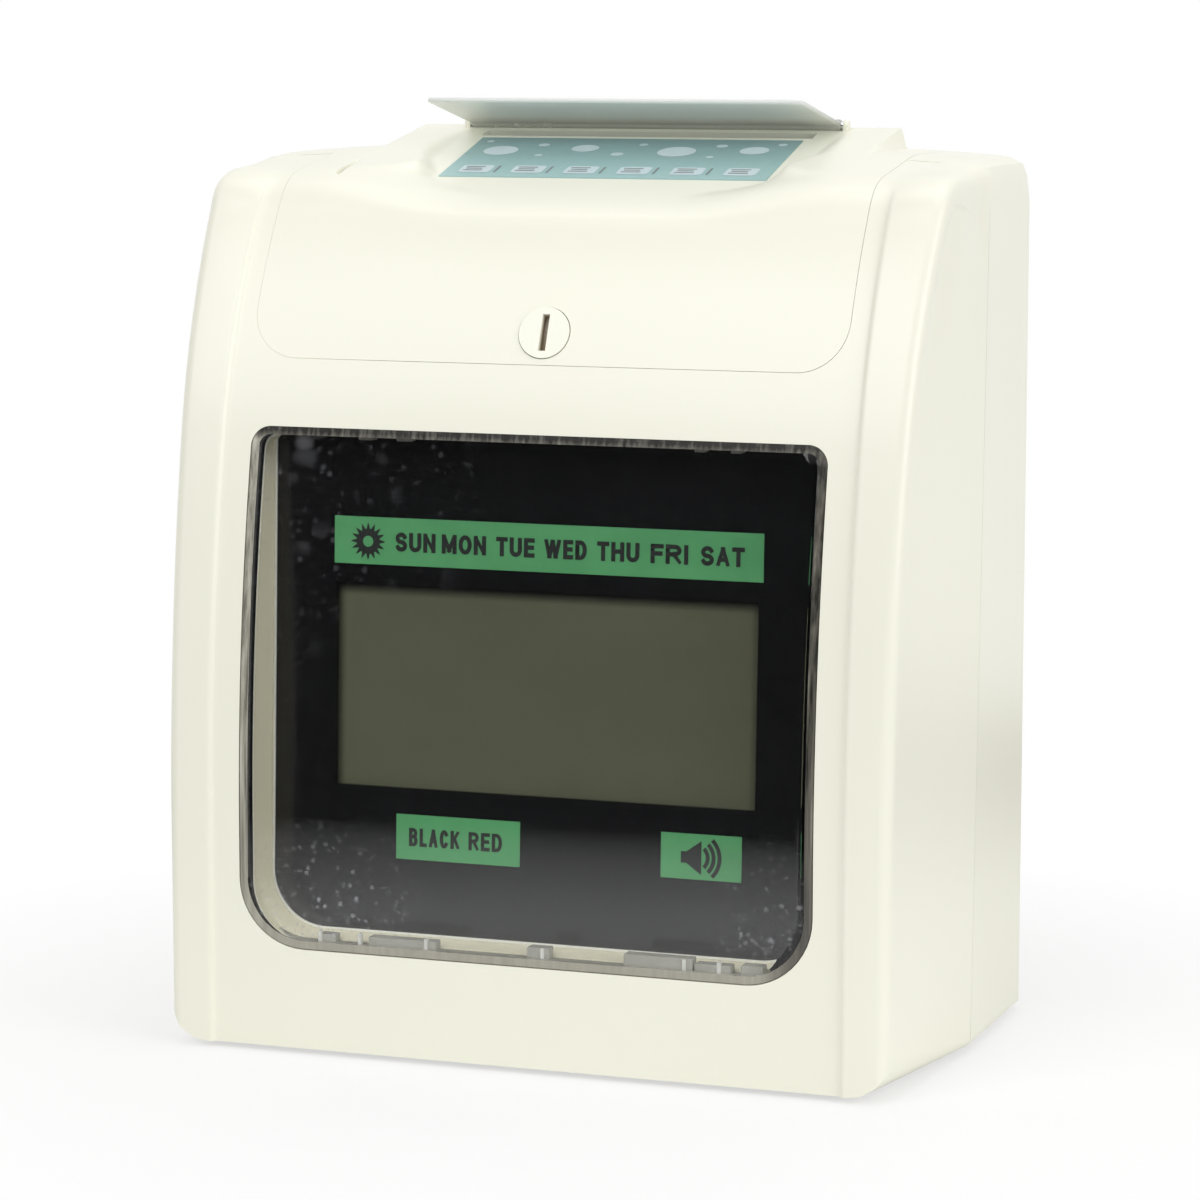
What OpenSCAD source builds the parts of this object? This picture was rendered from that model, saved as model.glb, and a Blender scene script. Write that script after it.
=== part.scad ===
// Punch-card time recorder: curved case, keyed lid with card throat, display and printing mechanism.
// Millimetres, X to the right, Y to the rear, Z up, origin under the middle of the case on the table.

/* [Case] */
// Width across the rear half of the case
case_w = 194; // [190:1:204]
// Width across the front edges of the case
front_w = 185; // [182:1:188]
// Depth of the case
case_d = 110; // [108:1:120]
// Height of the case without its feet
case_h = 218.5; // [216:0.5:232]
// Thickness of the moulded walls
wall = 2.8; // [2.2:0.1:3.2]
// Radius of the upright front edges
edge_r = 4.5; // [3.5:0.1:5.5]
// Radius of the lower corners in front view
corner_r = 10; // [8:0.5:12]
// Radius of the upper side edges
shoulder_r = 12; // [10:0.5:14]
// Depth of the front panel behind the cheeks
panel_step = 1; // [0.6:0.1:1.2]
// Width of the front panel between the cheeks
panel_w = 162; // [158:1:166]
// Distance of the parting line from the front at the bottom
parting_y = 58; // [56:0.5:62]
// Lean of the parting line and of the display
parting_lean = 2.44; // [2:0.02:3]
// Depth of the finger scoop in each side
scoop_depth = 2; // [1:0.1:2.4]
// Visible gap along the seams
seam = 0.3; // [0.2:0.05:0.5]
// Height of the rubber feet below the case
foot_h = 1.5; // [1:0.1:3]
// Radius of the rubber feet
foot_r = 6; // [5:0.5:8]

/* [Front curve] */
// Radius of the long lower bow
bow_r = 480; // [470:5:490]
// Lean at the top of the lower bow
bow_lean = 12; // [11.5:0.1:12.5]
// Radius of the brow above it
brow_r = 150; // [146:1:154]
// Lean at the top of the brow
brow_lean = 34; // [33:0.2:35]
// Radius of the turn onto the top
turn_r = 22; // [20:0.5:24]
// Lean of the ramp on top
ramp_lean = 80; // [79.5:0.1:80.5]
// Length of the ramp on top before it levels out
ramp_len = 21.25; // [20:0.25:23]
// Radius of the levelling curve
level_r = 60; // [50:1:70]

/* [Lid] */
// Width of the lid
lid_w = 152; // [148:1:156]
// Drop of the lid's front edge below the top
lid_drop = 49.5; // [46:0.5:52]
// Radius of the lid's lower corners
lid_corner_r = 12; // [8:0.5:14]
// Radius of the rolled hinge edge
hinge_r = 4; // [3.8:0.1:4.6]
// Radius of the hinge pins
pin_r = 1.5; // [1.2:0.1:1.8]
// Width of the hood on the lid
hood_w = 130; // [126:1:134]
// Distance of the hood's rear face from the rear
hood_back = 5.5; // [5:0.1:6.5]
// Width of the recess in the hood
recess_w = 103; // [101:0.5:108]
// Slope of the recess floor
recess_slope = 15.9; // [15.5:0.1:16.3]
// Depth of the recess floor below the top at its near label edge
recess_drop = 6.8; // [6.4:0.1:7.2]
// Gap between the label and the end of the recess
label_gap = 8.6; // [7:0.1:10]
// Length of the label along the floor
label_len = 32; // [28:0.5:33]
// Length of the throat flap
flap_len = 28.3; // [24:0.1:29]
// Thickness of the throat flap
flap_t = 1.2; // [1:0.1:1.4]
// Angle of the throat flap above level as it stands
flap_angle = 13.9; // [10:0.1:20]
// Radius of the lock barrel's face
lock_r = 6; // [5:0.1:6.4]
// Height of the lock above the lid's front edge
lock_rise = 7.7; // [7.5:0.1:10]
// Length of the lock barrel
lock_len = 19; // [18:0.5:20]

/* [Card path] */
// Width of a time card
card_w = 86; // [80:1:88]
// Gap of the card throat from front to rear
throat_gap = 5; // [4.6:0.1:5.4]
// Distance of the throat's middle from the rear
throat_back = 16; // [15.5:0.1:17]
// Thickness of the card guide plates
guide_t = 1.2; // [1:0.1:1.5]
// Drop of the print line below the top
print_drop = 53.5; // [52.5:0.5:55.5]
// Drop of the feed roller's axis below the print line
feed_drop = 30; // [29:0.5:32]

/* [Display] */
// Width of the window opening
window_w = 147.2; // [144:0.2:150]
// Height of the window's lower edge
window_z = 24.8; // [22:0.2:28]
// Height of the band between the window and the lid
window_gap = 16.4; // [15:0.2:20]
// Radius of the window's lower corners
window_low_r = 17; // [12:0.5:20]
// Radius of the window's upper corners
window_top_r = 5; // [4:0.5:8]
// Thickness of the clear window
window_t = 2; // [1.6:0.1:2.4]
// Width of the ledge behind the window's edge
ledge = 2.4; // [2:0.1:3]
// Depth of that ledge behind the front panel
ledge_depth = 5; // [4.6:0.1:6]
// Depth of the display mask behind the front at its middle
mask_y = 18; // [17:0.1:20]
// Width of the display aperture
lcd_w = 108.8; // [100:0.2:112]
// Height of the display aperture
lcd_h = 50; // [44:0.2:54]

/* [Mechanism] */
// Clear width between the side frames
frame_gap = 121; // [119:0.5:124]
// Thickness of the frame sheet
sheet_t = 1.5; // [1.2:0.1:2]
// Radius of the carriage rod
rod_r = 3; // [2.5:0.1:3.4]
// Width of the print carriage
carriage_w = 22; // [20:0.5:24]
// Pitch radius of the belt pulleys
pulley_r = 6; // [5.5:0.1:6.4]
// Module of the feed gears
gear_module = 0.8; // [0.75:0.01:0.82]
// Radius of a key cap
key_r = 3.5; // [3:0.1:4]

/* [Hidden] */
$fn = 64;

// Colours as photographed
cream = [0.94, 0.93, 0.88];
smoke = [0.75, 0.77, 0.76, 0.5];
black = [0.10, 0.10, 0.11];
steel = [0.70, 0.71, 0.73];
green_board = [0.08, 0.33, 0.20];
rubber = [0.16, 0.16, 0.17];
grey = [0.45, 0.46, 0.48];

// Clearances
run = 0.05;                 // a shaft turning in its bore
fit = 0.2;                  // a piece dropped into its place
seat_gap = 0.3;             // pieces that lie side by side
big = 400;                  // larger than the whole clock
eps = 0.01;

// Case halves
half_w = case_w / 2;
front_half = front_w / 2;
foot_inset_r = 2;
fine_step = 15;              // degrees between the rear half's rounding rings

// Corners of the front curve, as [y, z] from the front lower edge
front_straight = case_h - bow_r * sin(bow_lean) - brow_r * (sin(brow_lean) - sin(bow_lean))
    - turn_r * (sin(ramp_lean) - sin(brow_lean)) - ramp_len * cos(ramp_lean) - level_r * (1 - sin(ramp_lean));
bow_end = [bow_r * (1 - cos(bow_lean)), front_straight + bow_r * sin(bow_lean)];
brow_end = bow_end + brow_r * [cos(bow_lean) - cos(brow_lean), sin(brow_lean) - sin(bow_lean)];
turn_end = brow_end + turn_r * [cos(brow_lean) - cos(ramp_lean), sin(ramp_lean) - sin(brow_lean)];
ramp_end = turn_end + ramp_len * [sin(ramp_lean), cos(ramp_lean)];
ramp_rate = cos(ramp_lean) / sin(ramp_lean);

// An arc that starts at point p with lean a0 and ends with lean a1: [y, z, lean] of each point
function arc_from(p, r, a0, a1, steps, first = 1) = [for (i = [first : steps])
    let (a = a0 + (a1 - a0) * i / steps)
    [p[0] + r * (cos(a0) - cos(a)), p[1] + r * (sin(a) - sin(a0)), a]];
front_line = concat(
    arc_from([0, front_straight], bow_r, 0, bow_lean, 6, 0),
    arc_from(bow_end, brow_r, bow_lean, brow_lean, 7),
    arc_from(brow_end, turn_r, brow_lean, ramp_lean, 6),
    arc_from(ramp_end, level_r, ramp_lean, 90, 3, 0));
rear_line = arc_from([case_d - hinge_r, case_h], hinge_r, 90, 180, 4, 0);

// A point of the outline moved inwards by d
function inwards(p, d) = [p[0] + d * cos(p[2]), p[1] - d * sin(p[2])];
// The whole side outline moved inwards by d, with its lower edge at zb
function side_outline(d, zb) = concat([[d, zb]], [for (p = front_line) inwards(p, d)],
    [for (p = rear_line) inwards(p, d)], [[case_d - d, zb]]);
// Height of the ramp's straight line at depth y
function ramp_at(y) = turn_end[1] + (y - turn_end[0]) * ramp_rate;
// Depth of the front surface at height z
function front_at(z) =
    z < front_straight ? 0 :
    z < bow_end[1] ? bow_r - sqrt(bow_r * bow_r - pow(z - front_straight, 2)) :
    let (s = sin(bow_lean) + (z - bow_end[1]) / brow_r) bow_end[0] + brow_r * (cos(bow_lean) - sqrt(1 - s * s));
// Depth of the parting line at height z
function parting_at(z) = parting_y + z * tan(parting_lean);
// Inset of a round edge of radius r, at distance t past where the rounding starts
function round_in(t, r) = t <= 0 ? 0 : r - sqrt(max(0, r * r - t * t));

// Lid, lock and flap
lid_z = case_h - lid_drop;
hinge_y = case_d - hinge_r;
hinge_z = case_h - hinge_r;
rear_rim_z = hinge_z - hinge_r - seam;
lock_z = lid_z + lock_rise;
lock_lean = asin(sin(bow_lean) + (lock_z - bow_end[1]) / brow_r);
lock_point = [front_at(lock_z) + panel_step * cos(lock_lean), lock_z - panel_step * sin(lock_lean)];
hood_rear = case_d - hood_back;
hood_front = ramp_end[0] + 2;
recess_far = hood_rear - 7;
label_y = recess_far - label_gap - label_len * cos(recess_slope);
label_z = case_h - recess_drop;
function floor_at(y) = label_z + (y - label_y) * tan(recess_slope);
flap_pin_r = 1;
flap_boss_r = 1.9;
flap_knuckle_r = 1.5;
flap_y = hood_rear - 5;
flap_z = ramp_at(flap_y) + flap_t;
flap_w = recess_w - 3;
flap_ear_w = 3;
cam_reach = 9;
cam_t = 2;
lock_face_t = 1.5;
lock_proud = 0.3;
lock_stem_r = lock_r - 1.5;
lock_boss_r = lock_stem_r + 1.7;
strike_half = 7;
strike_y = lock_point[0] + lock_len * cos(lock_lean) - cam_reach * sin(lock_lean) - 2 * seat_gap;
strike_z = lock_point[1] - lock_len * sin(lock_lean) - cam_reach * cos(lock_lean);

// Display stack, measured from the mask's front face
window_h = lid_z - window_gap - window_z;
display_z = window_z + window_h / 2;
mask_t = 1.5;
lcd_frame_t = 4.5;
board_t = 1.6;
board_w = mask_t + lcd_frame_t;
display_screw_x = window_w / 2 + 5.9;
display_screw_v = window_h / 2 - 19.9;
board_margin = 6;
display_rear = mask_y + board_w + board_t + (display_screw_v + board_margin) * sin(parting_lean);

// Card path
print_z = case_h - print_drop;
feed_z = print_z - feed_drop;
throat_y = case_d - throat_back;
throat_w = card_w + 3;
guide_front_y = throat_y - throat_gap / 2 - guide_t;
guide_rear_y = throat_y + throat_gap / 2;
guide_low_z = feed_z - 35;
guide_top_z = case_h - 4.5;

// Frames and chassis
frame_half = frame_gap / 2;
chassis_z = wall + 2.2;
chassis_t = 1.2;
chassis_top = chassis_z + chassis_t;
frame_front = throat_y - 50;
frame_rear = throat_y + 11;
frame_top = print_z + 33;
flange_w = 10;
span_half = frame_half - seat_gap;
rod_reach = frame_half + sheet_t + 1;

// Printing carriage
rod_y = throat_y - 24;
rod_z = print_z - 7;
guide_rod_r = 2.5;
guide_rod_y = rod_y - 13;
ribbon_y = guide_front_y - 1.5;
ribbon_t = 0.3;
cassette_z = print_z + 13;
cassette_h = 14;
knob_x = -38;
knob_y = rod_y;

// Belt drive
belt_t = 1;
belt_w = 5;
belt_y = throat_y - 44.5;
belt_z = print_z - 23;
pulley_x = 50;
motor_plate_y = throat_y - 48;
motor_r = 12.5;
motor_len = motor_plate_y - display_rear - 5.3;
motor_shaft_r = 1.5;

// Card feed
feed_r = 6.5;
feed_shaft_r = 2.5;
feed_y = throat_y - 0.5 - feed_r;
pinch_r = 5.5;
pinch_shaft_r = 2;
pinch_y = throat_y + 0.5 + pinch_r;
roller_x = 25;
roller_w = 14;
gear_teeth = 36;
pinion_teeth = 12;
gear_w = 4.5;
gear_x = frame_half + sheet_t + 1.5;
gear_distance = gear_module * (gear_teeth + pinion_teeth) / 2;
pinion_side = 28;
pinion_y = feed_y - gear_distance * cos(pinion_side);
pinion_z = feed_z - gear_distance * sin(pinion_side);

// Keys
key_z = print_z + 21;
key_pitch = 14;
key_first_x = 0;
key_post_x = [key_first_x - 8, key_first_x + 3 * key_pitch + 8];
key_y = throat_y - 43;
key_t = 2;
key_travel = 1.2;
key_drop = 1.8;
key_board_z = key_z - key_drop - key_travel - 2 * fit - board_t;

// Fasteners
screw_hole = 1.7;
screw_r = 1.25;
head_r = 3;
head_h = 1.8;
case_screw_x = half_w - 11;
case_screw_z = [18, lid_z + 23];
counterbore_y = case_d - 20;
chassis_screw = [frame_half + sheet_t + flange_w + 5, [parting_y + 12, case_d - 10]];
frame_screw_y = [throat_y - 38, throat_y - 2];
board_x = frame_half + sheet_t + 8;
board_screw_y = [throat_y - 40, throat_y + 2];
board_screw_z = [36, 124];

// Inlet and wall holes
inlet_x = 34;
inlet_z = 28;
inlet_flange = [28, 1.4, 20];
inlet_body = [22, 17, 14];
wall_hole_x = 45;
wall_hole_z = lid_z + 1;
wall_hole_r = 2.5;

foot_x = 66;
foot_y = [14, case_d - 14];
foot_peg_r = 2.3;

// Placing helpers
module in_case() { translate([0, -case_d / 2, foot_h]) children(); }
// A flat shape drawn in y and z, carried along x
module along_x(x, length) { translate([x, 0, 0]) rotate([90, 0, 90]) linear_extrude(length) children(); }
// A flat shape drawn in x and z, carried along y
module along_y(y, length) {
    translate([0, y + length, 0]) rotate([90, 0, 0]) linear_extrude(length) children();
}
module rod_x(x, length, y, z, r) { translate([x, y, z]) rotate([0, 90, 0]) cylinder(r = r, h = length); }
module rod_y(y, length, x, z, r) { translate([x, y, z]) rotate([-90, 0, 0]) cylinder(r = r, h = length); }
module block(low, high) { translate(low) cube(high - low); }
module both_sides() { children(); mirror([1, 0, 0]) children(); }
// Display coordinates: y into the case from the mask's front, z up along the mask
module on_display() { translate([0, mask_y, display_z]) rotate([-parting_lean, 0, 0]) children(); }
// Lock coordinates: z outwards along the barrel from the panel's surface
module on_lock() { translate([0, lock_point[0], lock_point[1]]) rotate([90 - lock_lean, 0, 0]) children(); }
// Flap coordinates: y forwards along the closed length, from the pin
module on_flap() { translate([0, flap_y, flap_z]) rotate([-flap_angle, 0, 0]) children(); }

// Rings of the case skin: [half width, inward offset, lower edge]
function front_ring(side, x, d) = concat(
    [[side * x, d, max(d, round_in(x - front_half + corner_r, corner_r))]],
    [for (p = front_line) if (p[0] < parting_y - 4) let (q = inwards(p, d)) [side * x, q[0], q[1]]]);
function rear_ring(side, x, top_in, low) = let (
    back_in = round_in(x - half_w + hinge_r, hinge_r),
    seam_z = ramp_at(parting_at(case_h)) - top_in)
    concat(
        [[side * x, parting_at(low), low], [side * x, parting_at(seam_z), seam_z]],
        [for (p = front_line) if (p[0] > parting_at(case_h)) [side * x, p[0], p[1] - top_in]],
        [for (p = rear_line) [side * x, p[0] - back_in, p[1] - top_in]],
        [[side * x, case_d - back_in, low]]);
module skin(points) { hull() polyhedron(points, [[for (i = [0 : len(points) - 1]) i]]); }

module case_solid(step = 30) {
    edge_steps = [0 : step : 90];
    skin([for (side = [-1, 1]) each concat(
        front_ring(side, front_half - corner_r, 0),
        front_ring(side, front_half - corner_r * 0.7, 0),
        [for (a = edge_steps) each front_ring(side, front_half - edge_r * (1 - sin(a)), edge_r * (1 - cos(a)))],
        [for (a = edge_steps) each rear_ring(side, half_w - shoulder_r * (1 - sin(a)),
            shoulder_r * (1 - cos(a)), round_in(foot_inset_r - shoulder_r * (1 - sin(a)), foot_inset_r))])]);
}

// The hollow inside, one wall thickness smaller all round
module case_cavity() {
    skin([for (side = [-1, 1]) each concat(
        [for (p = concat([[wall, wall, 0]], [for (p = front_line) if (p[0] < parting_y - 4)
            concat(inwards(p, wall), 0)])) [side * (front_half - corner_r), p[0], p[1]]],
        [for (p = concat([[wall, corner_r, 0]], [for (p = front_line) if (p[0] < parting_y - 4)
            concat(inwards(p, edge_r), 0)])) [side * (front_half - wall), p[0], p[1]]],
        [for (p = [[parting_at(0), wall], [case_d - wall, wall], [case_d - wall, hinge_z - hinge_r],
            [case_d - 2 * hinge_r, case_h - wall], [ramp_end[0] + 12, case_h - wall]])
            [side * (half_w - shoulder_r), p[0], p[1]]],
        [for (p = [[parting_at(0), wall + 1], [case_d - hinge_r, wall + 1],
            [case_d - hinge_r, case_h - shoulder_r - hinge_r],
            [parting_at(case_h), case_h - shoulder_r - hinge_r]])
            [side * (half_w - wall), p[0], p[1]]])]);
}

// Everything behind the front surface moved inwards by d
module behind_front(d) { along_x(-big / 2, big) polygon(side_outline(d, -big)); }

// The shallow step that sets the front panel behind the cheeks, fading out on the turn
fade_lean = 60;
function panel_depth(lean) = panel_step * min(1, max(0, (fade_lean - lean) / (fade_lean - brow_lean)));
module panel_cut() {
    curve = [for (p = front_line) if (p[2] <= fade_lean + 6) p];
    count = len(curve);
    along_x(-panel_w / 2, panel_w) polygon(concat(
        [[-wall, -wall]],
        [for (p = curve) inwards(p, -wall)],
        [for (i = [1 : count]) inwards(curve[count - i], panel_depth(curve[count - i][2]))],
        [[panel_step, -wall]]));
}

// Finger scoop: a wedge that deepens upwards, between the front edge and the parting line
scoop_top = lid_z + 42;
scoop_low = lid_z - 49;
scoop_slope = atan(scoop_depth / (scoop_top - scoop_low));
module scoop_outline() {
    front = [for (z = [scoop_low, lid_z - 11, lid_z + 16]) [front_at(z) + edge_r + 4, z]];
    polygon(concat(front, [[turn_end[0] - 3, scoop_top], [parting_at(scoop_top), scoop_top],
        [parting_at(scoop_low), scoop_low]]));
}
module scoop() {
    intersection() {
        along_x(0, big) scoop_outline();
        // The cut face starts on the flared side and leans inwards towards the top
        translate([half_w, parting_y, scoop_low]) rotate([0, -scoop_slope, 0])
            rotate([0, 0, -atan((half_w - front_half) / (parting_y - edge_r))])
            translate([0, -big / 2, 0]) cube([big, big, big]);
    }
}

module in_front_of_parting(shift) {
    translate([0, parting_y + shift, 0]) rotate([-parting_lean, 0, 0])
        translate([-big / 2, -big, -big / 4]) cube([big, big, big]);
}

// Window outline: round corners, larger ones below
module window_outline(grow) {
    half = window_w / 2 + grow;
    low_r = window_low_r + grow;
    top_r = window_top_r + grow;
    union() {
        for (side = [-1, 1]) {
            translate([side * (half - low_r), window_z - grow + low_r]) circle(low_r);
            translate([side * (half - top_r), window_z + window_h + grow - top_r]) circle(top_r);
        }
        translate([-half, window_z - grow + low_r]) square([2 * half, window_h + 2 * grow - low_r - top_r]);
        translate([-(half - low_r), window_z - grow]) square([2 * (half - low_r), low_r]);
        translate([-(half - top_r), window_z + window_h + grow - top_r]) square([2 * (half - top_r), top_r]);
    }
}
module window_prism(grow) { along_y(-5, 60) window_outline(grow); }
module ahead_of_mask() { on_display() translate([-big / 2, -big, -big / 2]) cube([big, big, big]); }

// Lid outline in front view, open at the top
module lid_outline(grow) {
    half = lid_w / 2 + grow;
    r = lid_corner_r + grow;
    for (side = [-1, 1]) translate([side * (half - r), lid_z - grow + r]) circle(r);
    translate([-half, lid_z - grow + r]) square([2 * half, big]);
    translate([-(half - r), lid_z - grow]) square([2 * (half - r), r + 1]);
}

module shell(step = 30) {
    difference() {
        case_solid(step);
        case_cavity();
    }
}

module front_case() {
    color(cream) in_case() difference() {
        intersection() {
            union() {
                shell();
                intersection() {
                    case_solid();
                    union() {
                        // Tunnel from the window's ledge back to the display mask
                        intersection() {
                            difference() {
                                window_prism(1.6);
                                window_prism(-ledge);
                            }
                            ahead_of_mask();
                        }
                        // Posts for the display board
                        for (x = [-1, 1], v = [-1, 1]) on_display()
                            translate([0, 0, v * display_screw_v]) rod_y(-mask_y, mask_y + board_w,
                                x * display_screw_x, 0, 3.2);
                        // Bosses for the case screws
                        for (x = [-1, 1], z = case_screw_z)
                            rod_y(parting_at(z) - 22, 30, x * case_screw_x, z, 4.5);
                        both_sides() for (z = case_screw_z)
                            block([case_screw_x, parting_at(z) - 22, z - 1], [half_w, parting_at(z), z + 1]);
                        // Thicker wall behind the finger scoops
                        both_sides() block([half_w - wall - scoop_depth - 2, turn_end[0] - 10, scoop_low + 20],
                            [half_w, parting_at(scoop_top), scoop_top + 2]);
                        // Strike for the lock cam
                        block([-strike_half, 0, strike_z - 0.6], [strike_half, strike_y, strike_z + 2.2]);
                    }
                }
            }
            in_front_of_parting(-seam / 2);
        }
        panel_cut();
        both_sides() scoop();
        difference() {
            window_prism(0);
            behind_front(panel_step + ledge_depth);
        }
        intersection() {
            window_prism(-ledge);
            ahead_of_mask();
        }
        along_y(-5, big) lid_outline(0);
        for (x = [-1, 1], z = case_screw_z) rod_y(parting_at(z) - 20, 30, x * case_screw_x, z, 1.4);
        for (x = [-1, 1], v = [-1, 1]) on_display() translate([0, 0, v * display_screw_v])
            rod_y(-3, 20, x * display_screw_x, 0, screw_r);
        for (x = [-1, 1]) translate([x * foot_x, foot_y[0], -1]) cylinder(r = foot_peg_r + run, h = wall + 2);
    }
}

module rear_case() {
    color(cream) in_case() difference() {
        union() {
            difference() {
                shell(fine_step);
                in_front_of_parting(seam / 2);
                block([-lid_w / 2, -1, rear_rim_z], [lid_w / 2, case_d + 1, case_h + 1]);
            }
            intersection() {
                case_solid(fine_step);
                union() {
                    // Hinge bosses beside the lid
                    both_sides() rod_x(lid_w / 2 + seam, 10, hinge_y, hinge_z, hinge_r - eps);
                    // Long bosses for the case screws
                    for (x = [-1, 1], z = case_screw_z) difference() {
                        rod_y(parting_y - 5, case_d - parting_y + 4, x * case_screw_x, z, 4.5);
                        in_front_of_parting(seam / 2);
                    }
                    // Short posts under the chassis plate
                    for (x = [-1, 1], y = chassis_screw[1]) translate([x * chassis_screw[0], y, 1])
                        cylinder(r = 4, h = chassis_z - 1);
                }
            }
        }
        both_sides() rod_x(lid_w / 2 - 1, 10, hinge_y, hinge_z, pin_r + run);
        for (x = [-1, 1], z = case_screw_z) {
            rod_y(parting_y - 6, case_d, x * case_screw_x, z, screw_hole);
            rod_y(counterbore_y, case_d, x * case_screw_x, z, head_r + 0.4);
        }
        for (x = [-1, 1], y = chassis_screw[1])
            translate([x * chassis_screw[0], y, 1.2]) cylinder(r = screw_r, h = 10);
        for (x = [-1, 1]) {
            translate([x * foot_x, foot_y[1], -1]) cylinder(r = foot_peg_r + run, h = wall + 2);
            rod_y(case_d - wall - 1, wall + 3, x * wall_hole_x, wall_hole_z, wall_hole_r);
        }
        // Pocket and cut-out of the power inlet
        translate([inlet_x, case_d, inlet_z]) {
            block([-inlet_flange[0] / 2 - fit, -inlet_flange[1], -inlet_flange[2] / 2 - fit],
                [inlet_flange[0] / 2 + fit, 5, inlet_flange[2] / 2 + fit]);
            block([-inlet_body[0] / 2 - fit, -2 * wall, -inlet_body[2] / 2 - fit],
                [inlet_body[0] / 2 + fit, 5, inlet_body[2] / 2 + fit]);
        }
    }
}

// The lid's recess: floor rising to the rear, open towards the front curve
recess_floor_t = 2.5;
module recess_prism(half, drop) {
    near = label_y - 30;
    along_x(-half, 2 * half) polygon([[near, floor_at(near) - drop], [recess_far, floor_at(recess_far) - drop],
        [recess_far, big], [near, big]]);
}

module top_lid() {
    color(cream) in_case() difference() {
        union() {
            intersection() {
                difference() {
                    case_solid();
                    // The hollow under the lid, less the tray that closes the recess below
                    difference() {
                        case_cavity();
                        recess_prism(recess_w / 2 + recess_floor_t, recess_floor_t);
                    }
                    block([-big / 2, hinge_y - fit, -1], [big / 2, case_d + 1, big]);
                    panel_cut();
                }
                along_y(-5, big) lid_outline(-seam);
            }
            // Hood: the ramp carried straight on to the hood's rear face
            along_x(-hood_w / 2, hood_w) polygon([[hood_front, ramp_end[1] - wall / 2],
                [hood_front, ramp_at(hood_front)], [hood_rear, ramp_at(hood_rear)],
                [hood_rear, case_h - wall / 2]]);
            // Rolled hinge edge
            rod_x(-lid_w / 2 + seam, lid_w - 2 * seam, hinge_y, hinge_z, hinge_r - run);
            // Boss for the lock barrel
            on_lock() translate([0, 0, -lock_len + seat_gap])
                cylinder(r = lock_boss_r, h = lock_len - seat_gap - 1);
            // Ears for the flap pin
            both_sides() along_x(flap_w / 2 + 0.5, flap_ear_w) union() {
                translate([flap_y, flap_z]) circle(flap_boss_r);
                translate([flap_y - flap_boss_r, flap_z - 3]) square([2 * flap_boss_r, 3]);
            }
        }
        difference() {
            recess_prism(recess_w / 2, 0);
            both_sides() block([flap_w / 2 + 0.5, flap_y - flap_boss_r, case_h], [flap_w, hood_rear, big]);
        }
        block([-throat_w / 2, throat_y - throat_gap / 2, case_h - 20],
            [throat_w / 2, throat_y + throat_gap / 2, big]);
        both_sides() rod_x(lid_w / 2 - 12, 20, hinge_y, hinge_z, pin_r + run);
        rod_x(-big / 2, big, flap_y, flap_z, flap_pin_r + run);
        rod_x(-flap_w / 2 - seat_gap, flap_w + 2 * seat_gap, flap_y, flap_z, flap_knuckle_r + seat_gap);
        on_lock() {
            translate([0, 0, -lock_face_t]) cylinder(r = lock_r + run, h = lock_len);
            translate([0, 0, -lock_len]) cylinder(r = lock_stem_r + run, h = lock_len + 1);
        }
    }
}

module hinge_pins() {
    color(steel) in_case() both_sides() rod_x(lid_w / 2 - 11, 19, hinge_y, hinge_z, pin_r);
}

module throat_flap() {
    color(smoke) in_case() on_flap() difference() {
        union() {
            block([-flap_w / 2, -flap_len, -flap_t / 2], [flap_w / 2, 0, flap_t / 2]);
            rod_x(-flap_w / 2, flap_w, 0, 0, flap_knuckle_r);
        }
        rod_x(-flap_w, 2 * flap_w, 0, 0, flap_pin_r + run);
    }
}

module flap_pin() {
    reach = flap_w / 2 + 0.4 + flap_ear_w;
    color(steel) in_case() rod_x(-reach, 2 * reach, flap_y, flap_z, flap_pin_r);
}

module instruction_label() {
    color([0.55, 0.72, 0.70]) in_case() translate([0, label_y, label_z]) rotate([recess_slope, 0, 0])
        block([-card_w / 2, 0, 0], [card_w / 2, label_len, fit]);
}

module lock_barrel() {
    slot = [1.3, 8.6];
    color(cream) in_case() on_lock() difference() {
        union() {
            translate([0, 0, -lock_face_t + run]) cylinder(r = lock_r, h = lock_face_t + lock_proud);
            translate([0, 0, -lock_len]) cylinder(r = lock_stem_r, h = lock_len);
        }
        rotate([0, 0, -8]) translate([-slot[0] / 2, -slot[1] / 2, -2]) cube([slot[0], slot[1], 6]);
        translate([0, 0, -lock_len - 1]) cylinder(r = screw_r, h = 7);
    }
}

module lock_cam() {
    color(steel) in_case() on_lock() translate([0, 0, -lock_len - cam_t]) difference() {
        union() {
            cylinder(r = lock_stem_r, h = cam_t);
            translate([0, -3, 0]) cube([cam_reach, 6, cam_t]);
        }
        translate([0, 0, -1]) cylinder(r = screw_hole, h = 5);
    }
}

// A pan-head screw standing on its head's seat, shank towards -z
module screw(shank, r = screw_r - run) {
    cylinder(r = head_r, h = head_h);
    translate([0, 0, -shank]) cylinder(r = r, h = shank + 0.5);
}

module lock_screw() {
    color(steel) in_case() on_lock() translate([0, 0, -lock_len - cam_t]) rotate([180, 0, 0]) screw(cam_t + 5);
}

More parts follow.
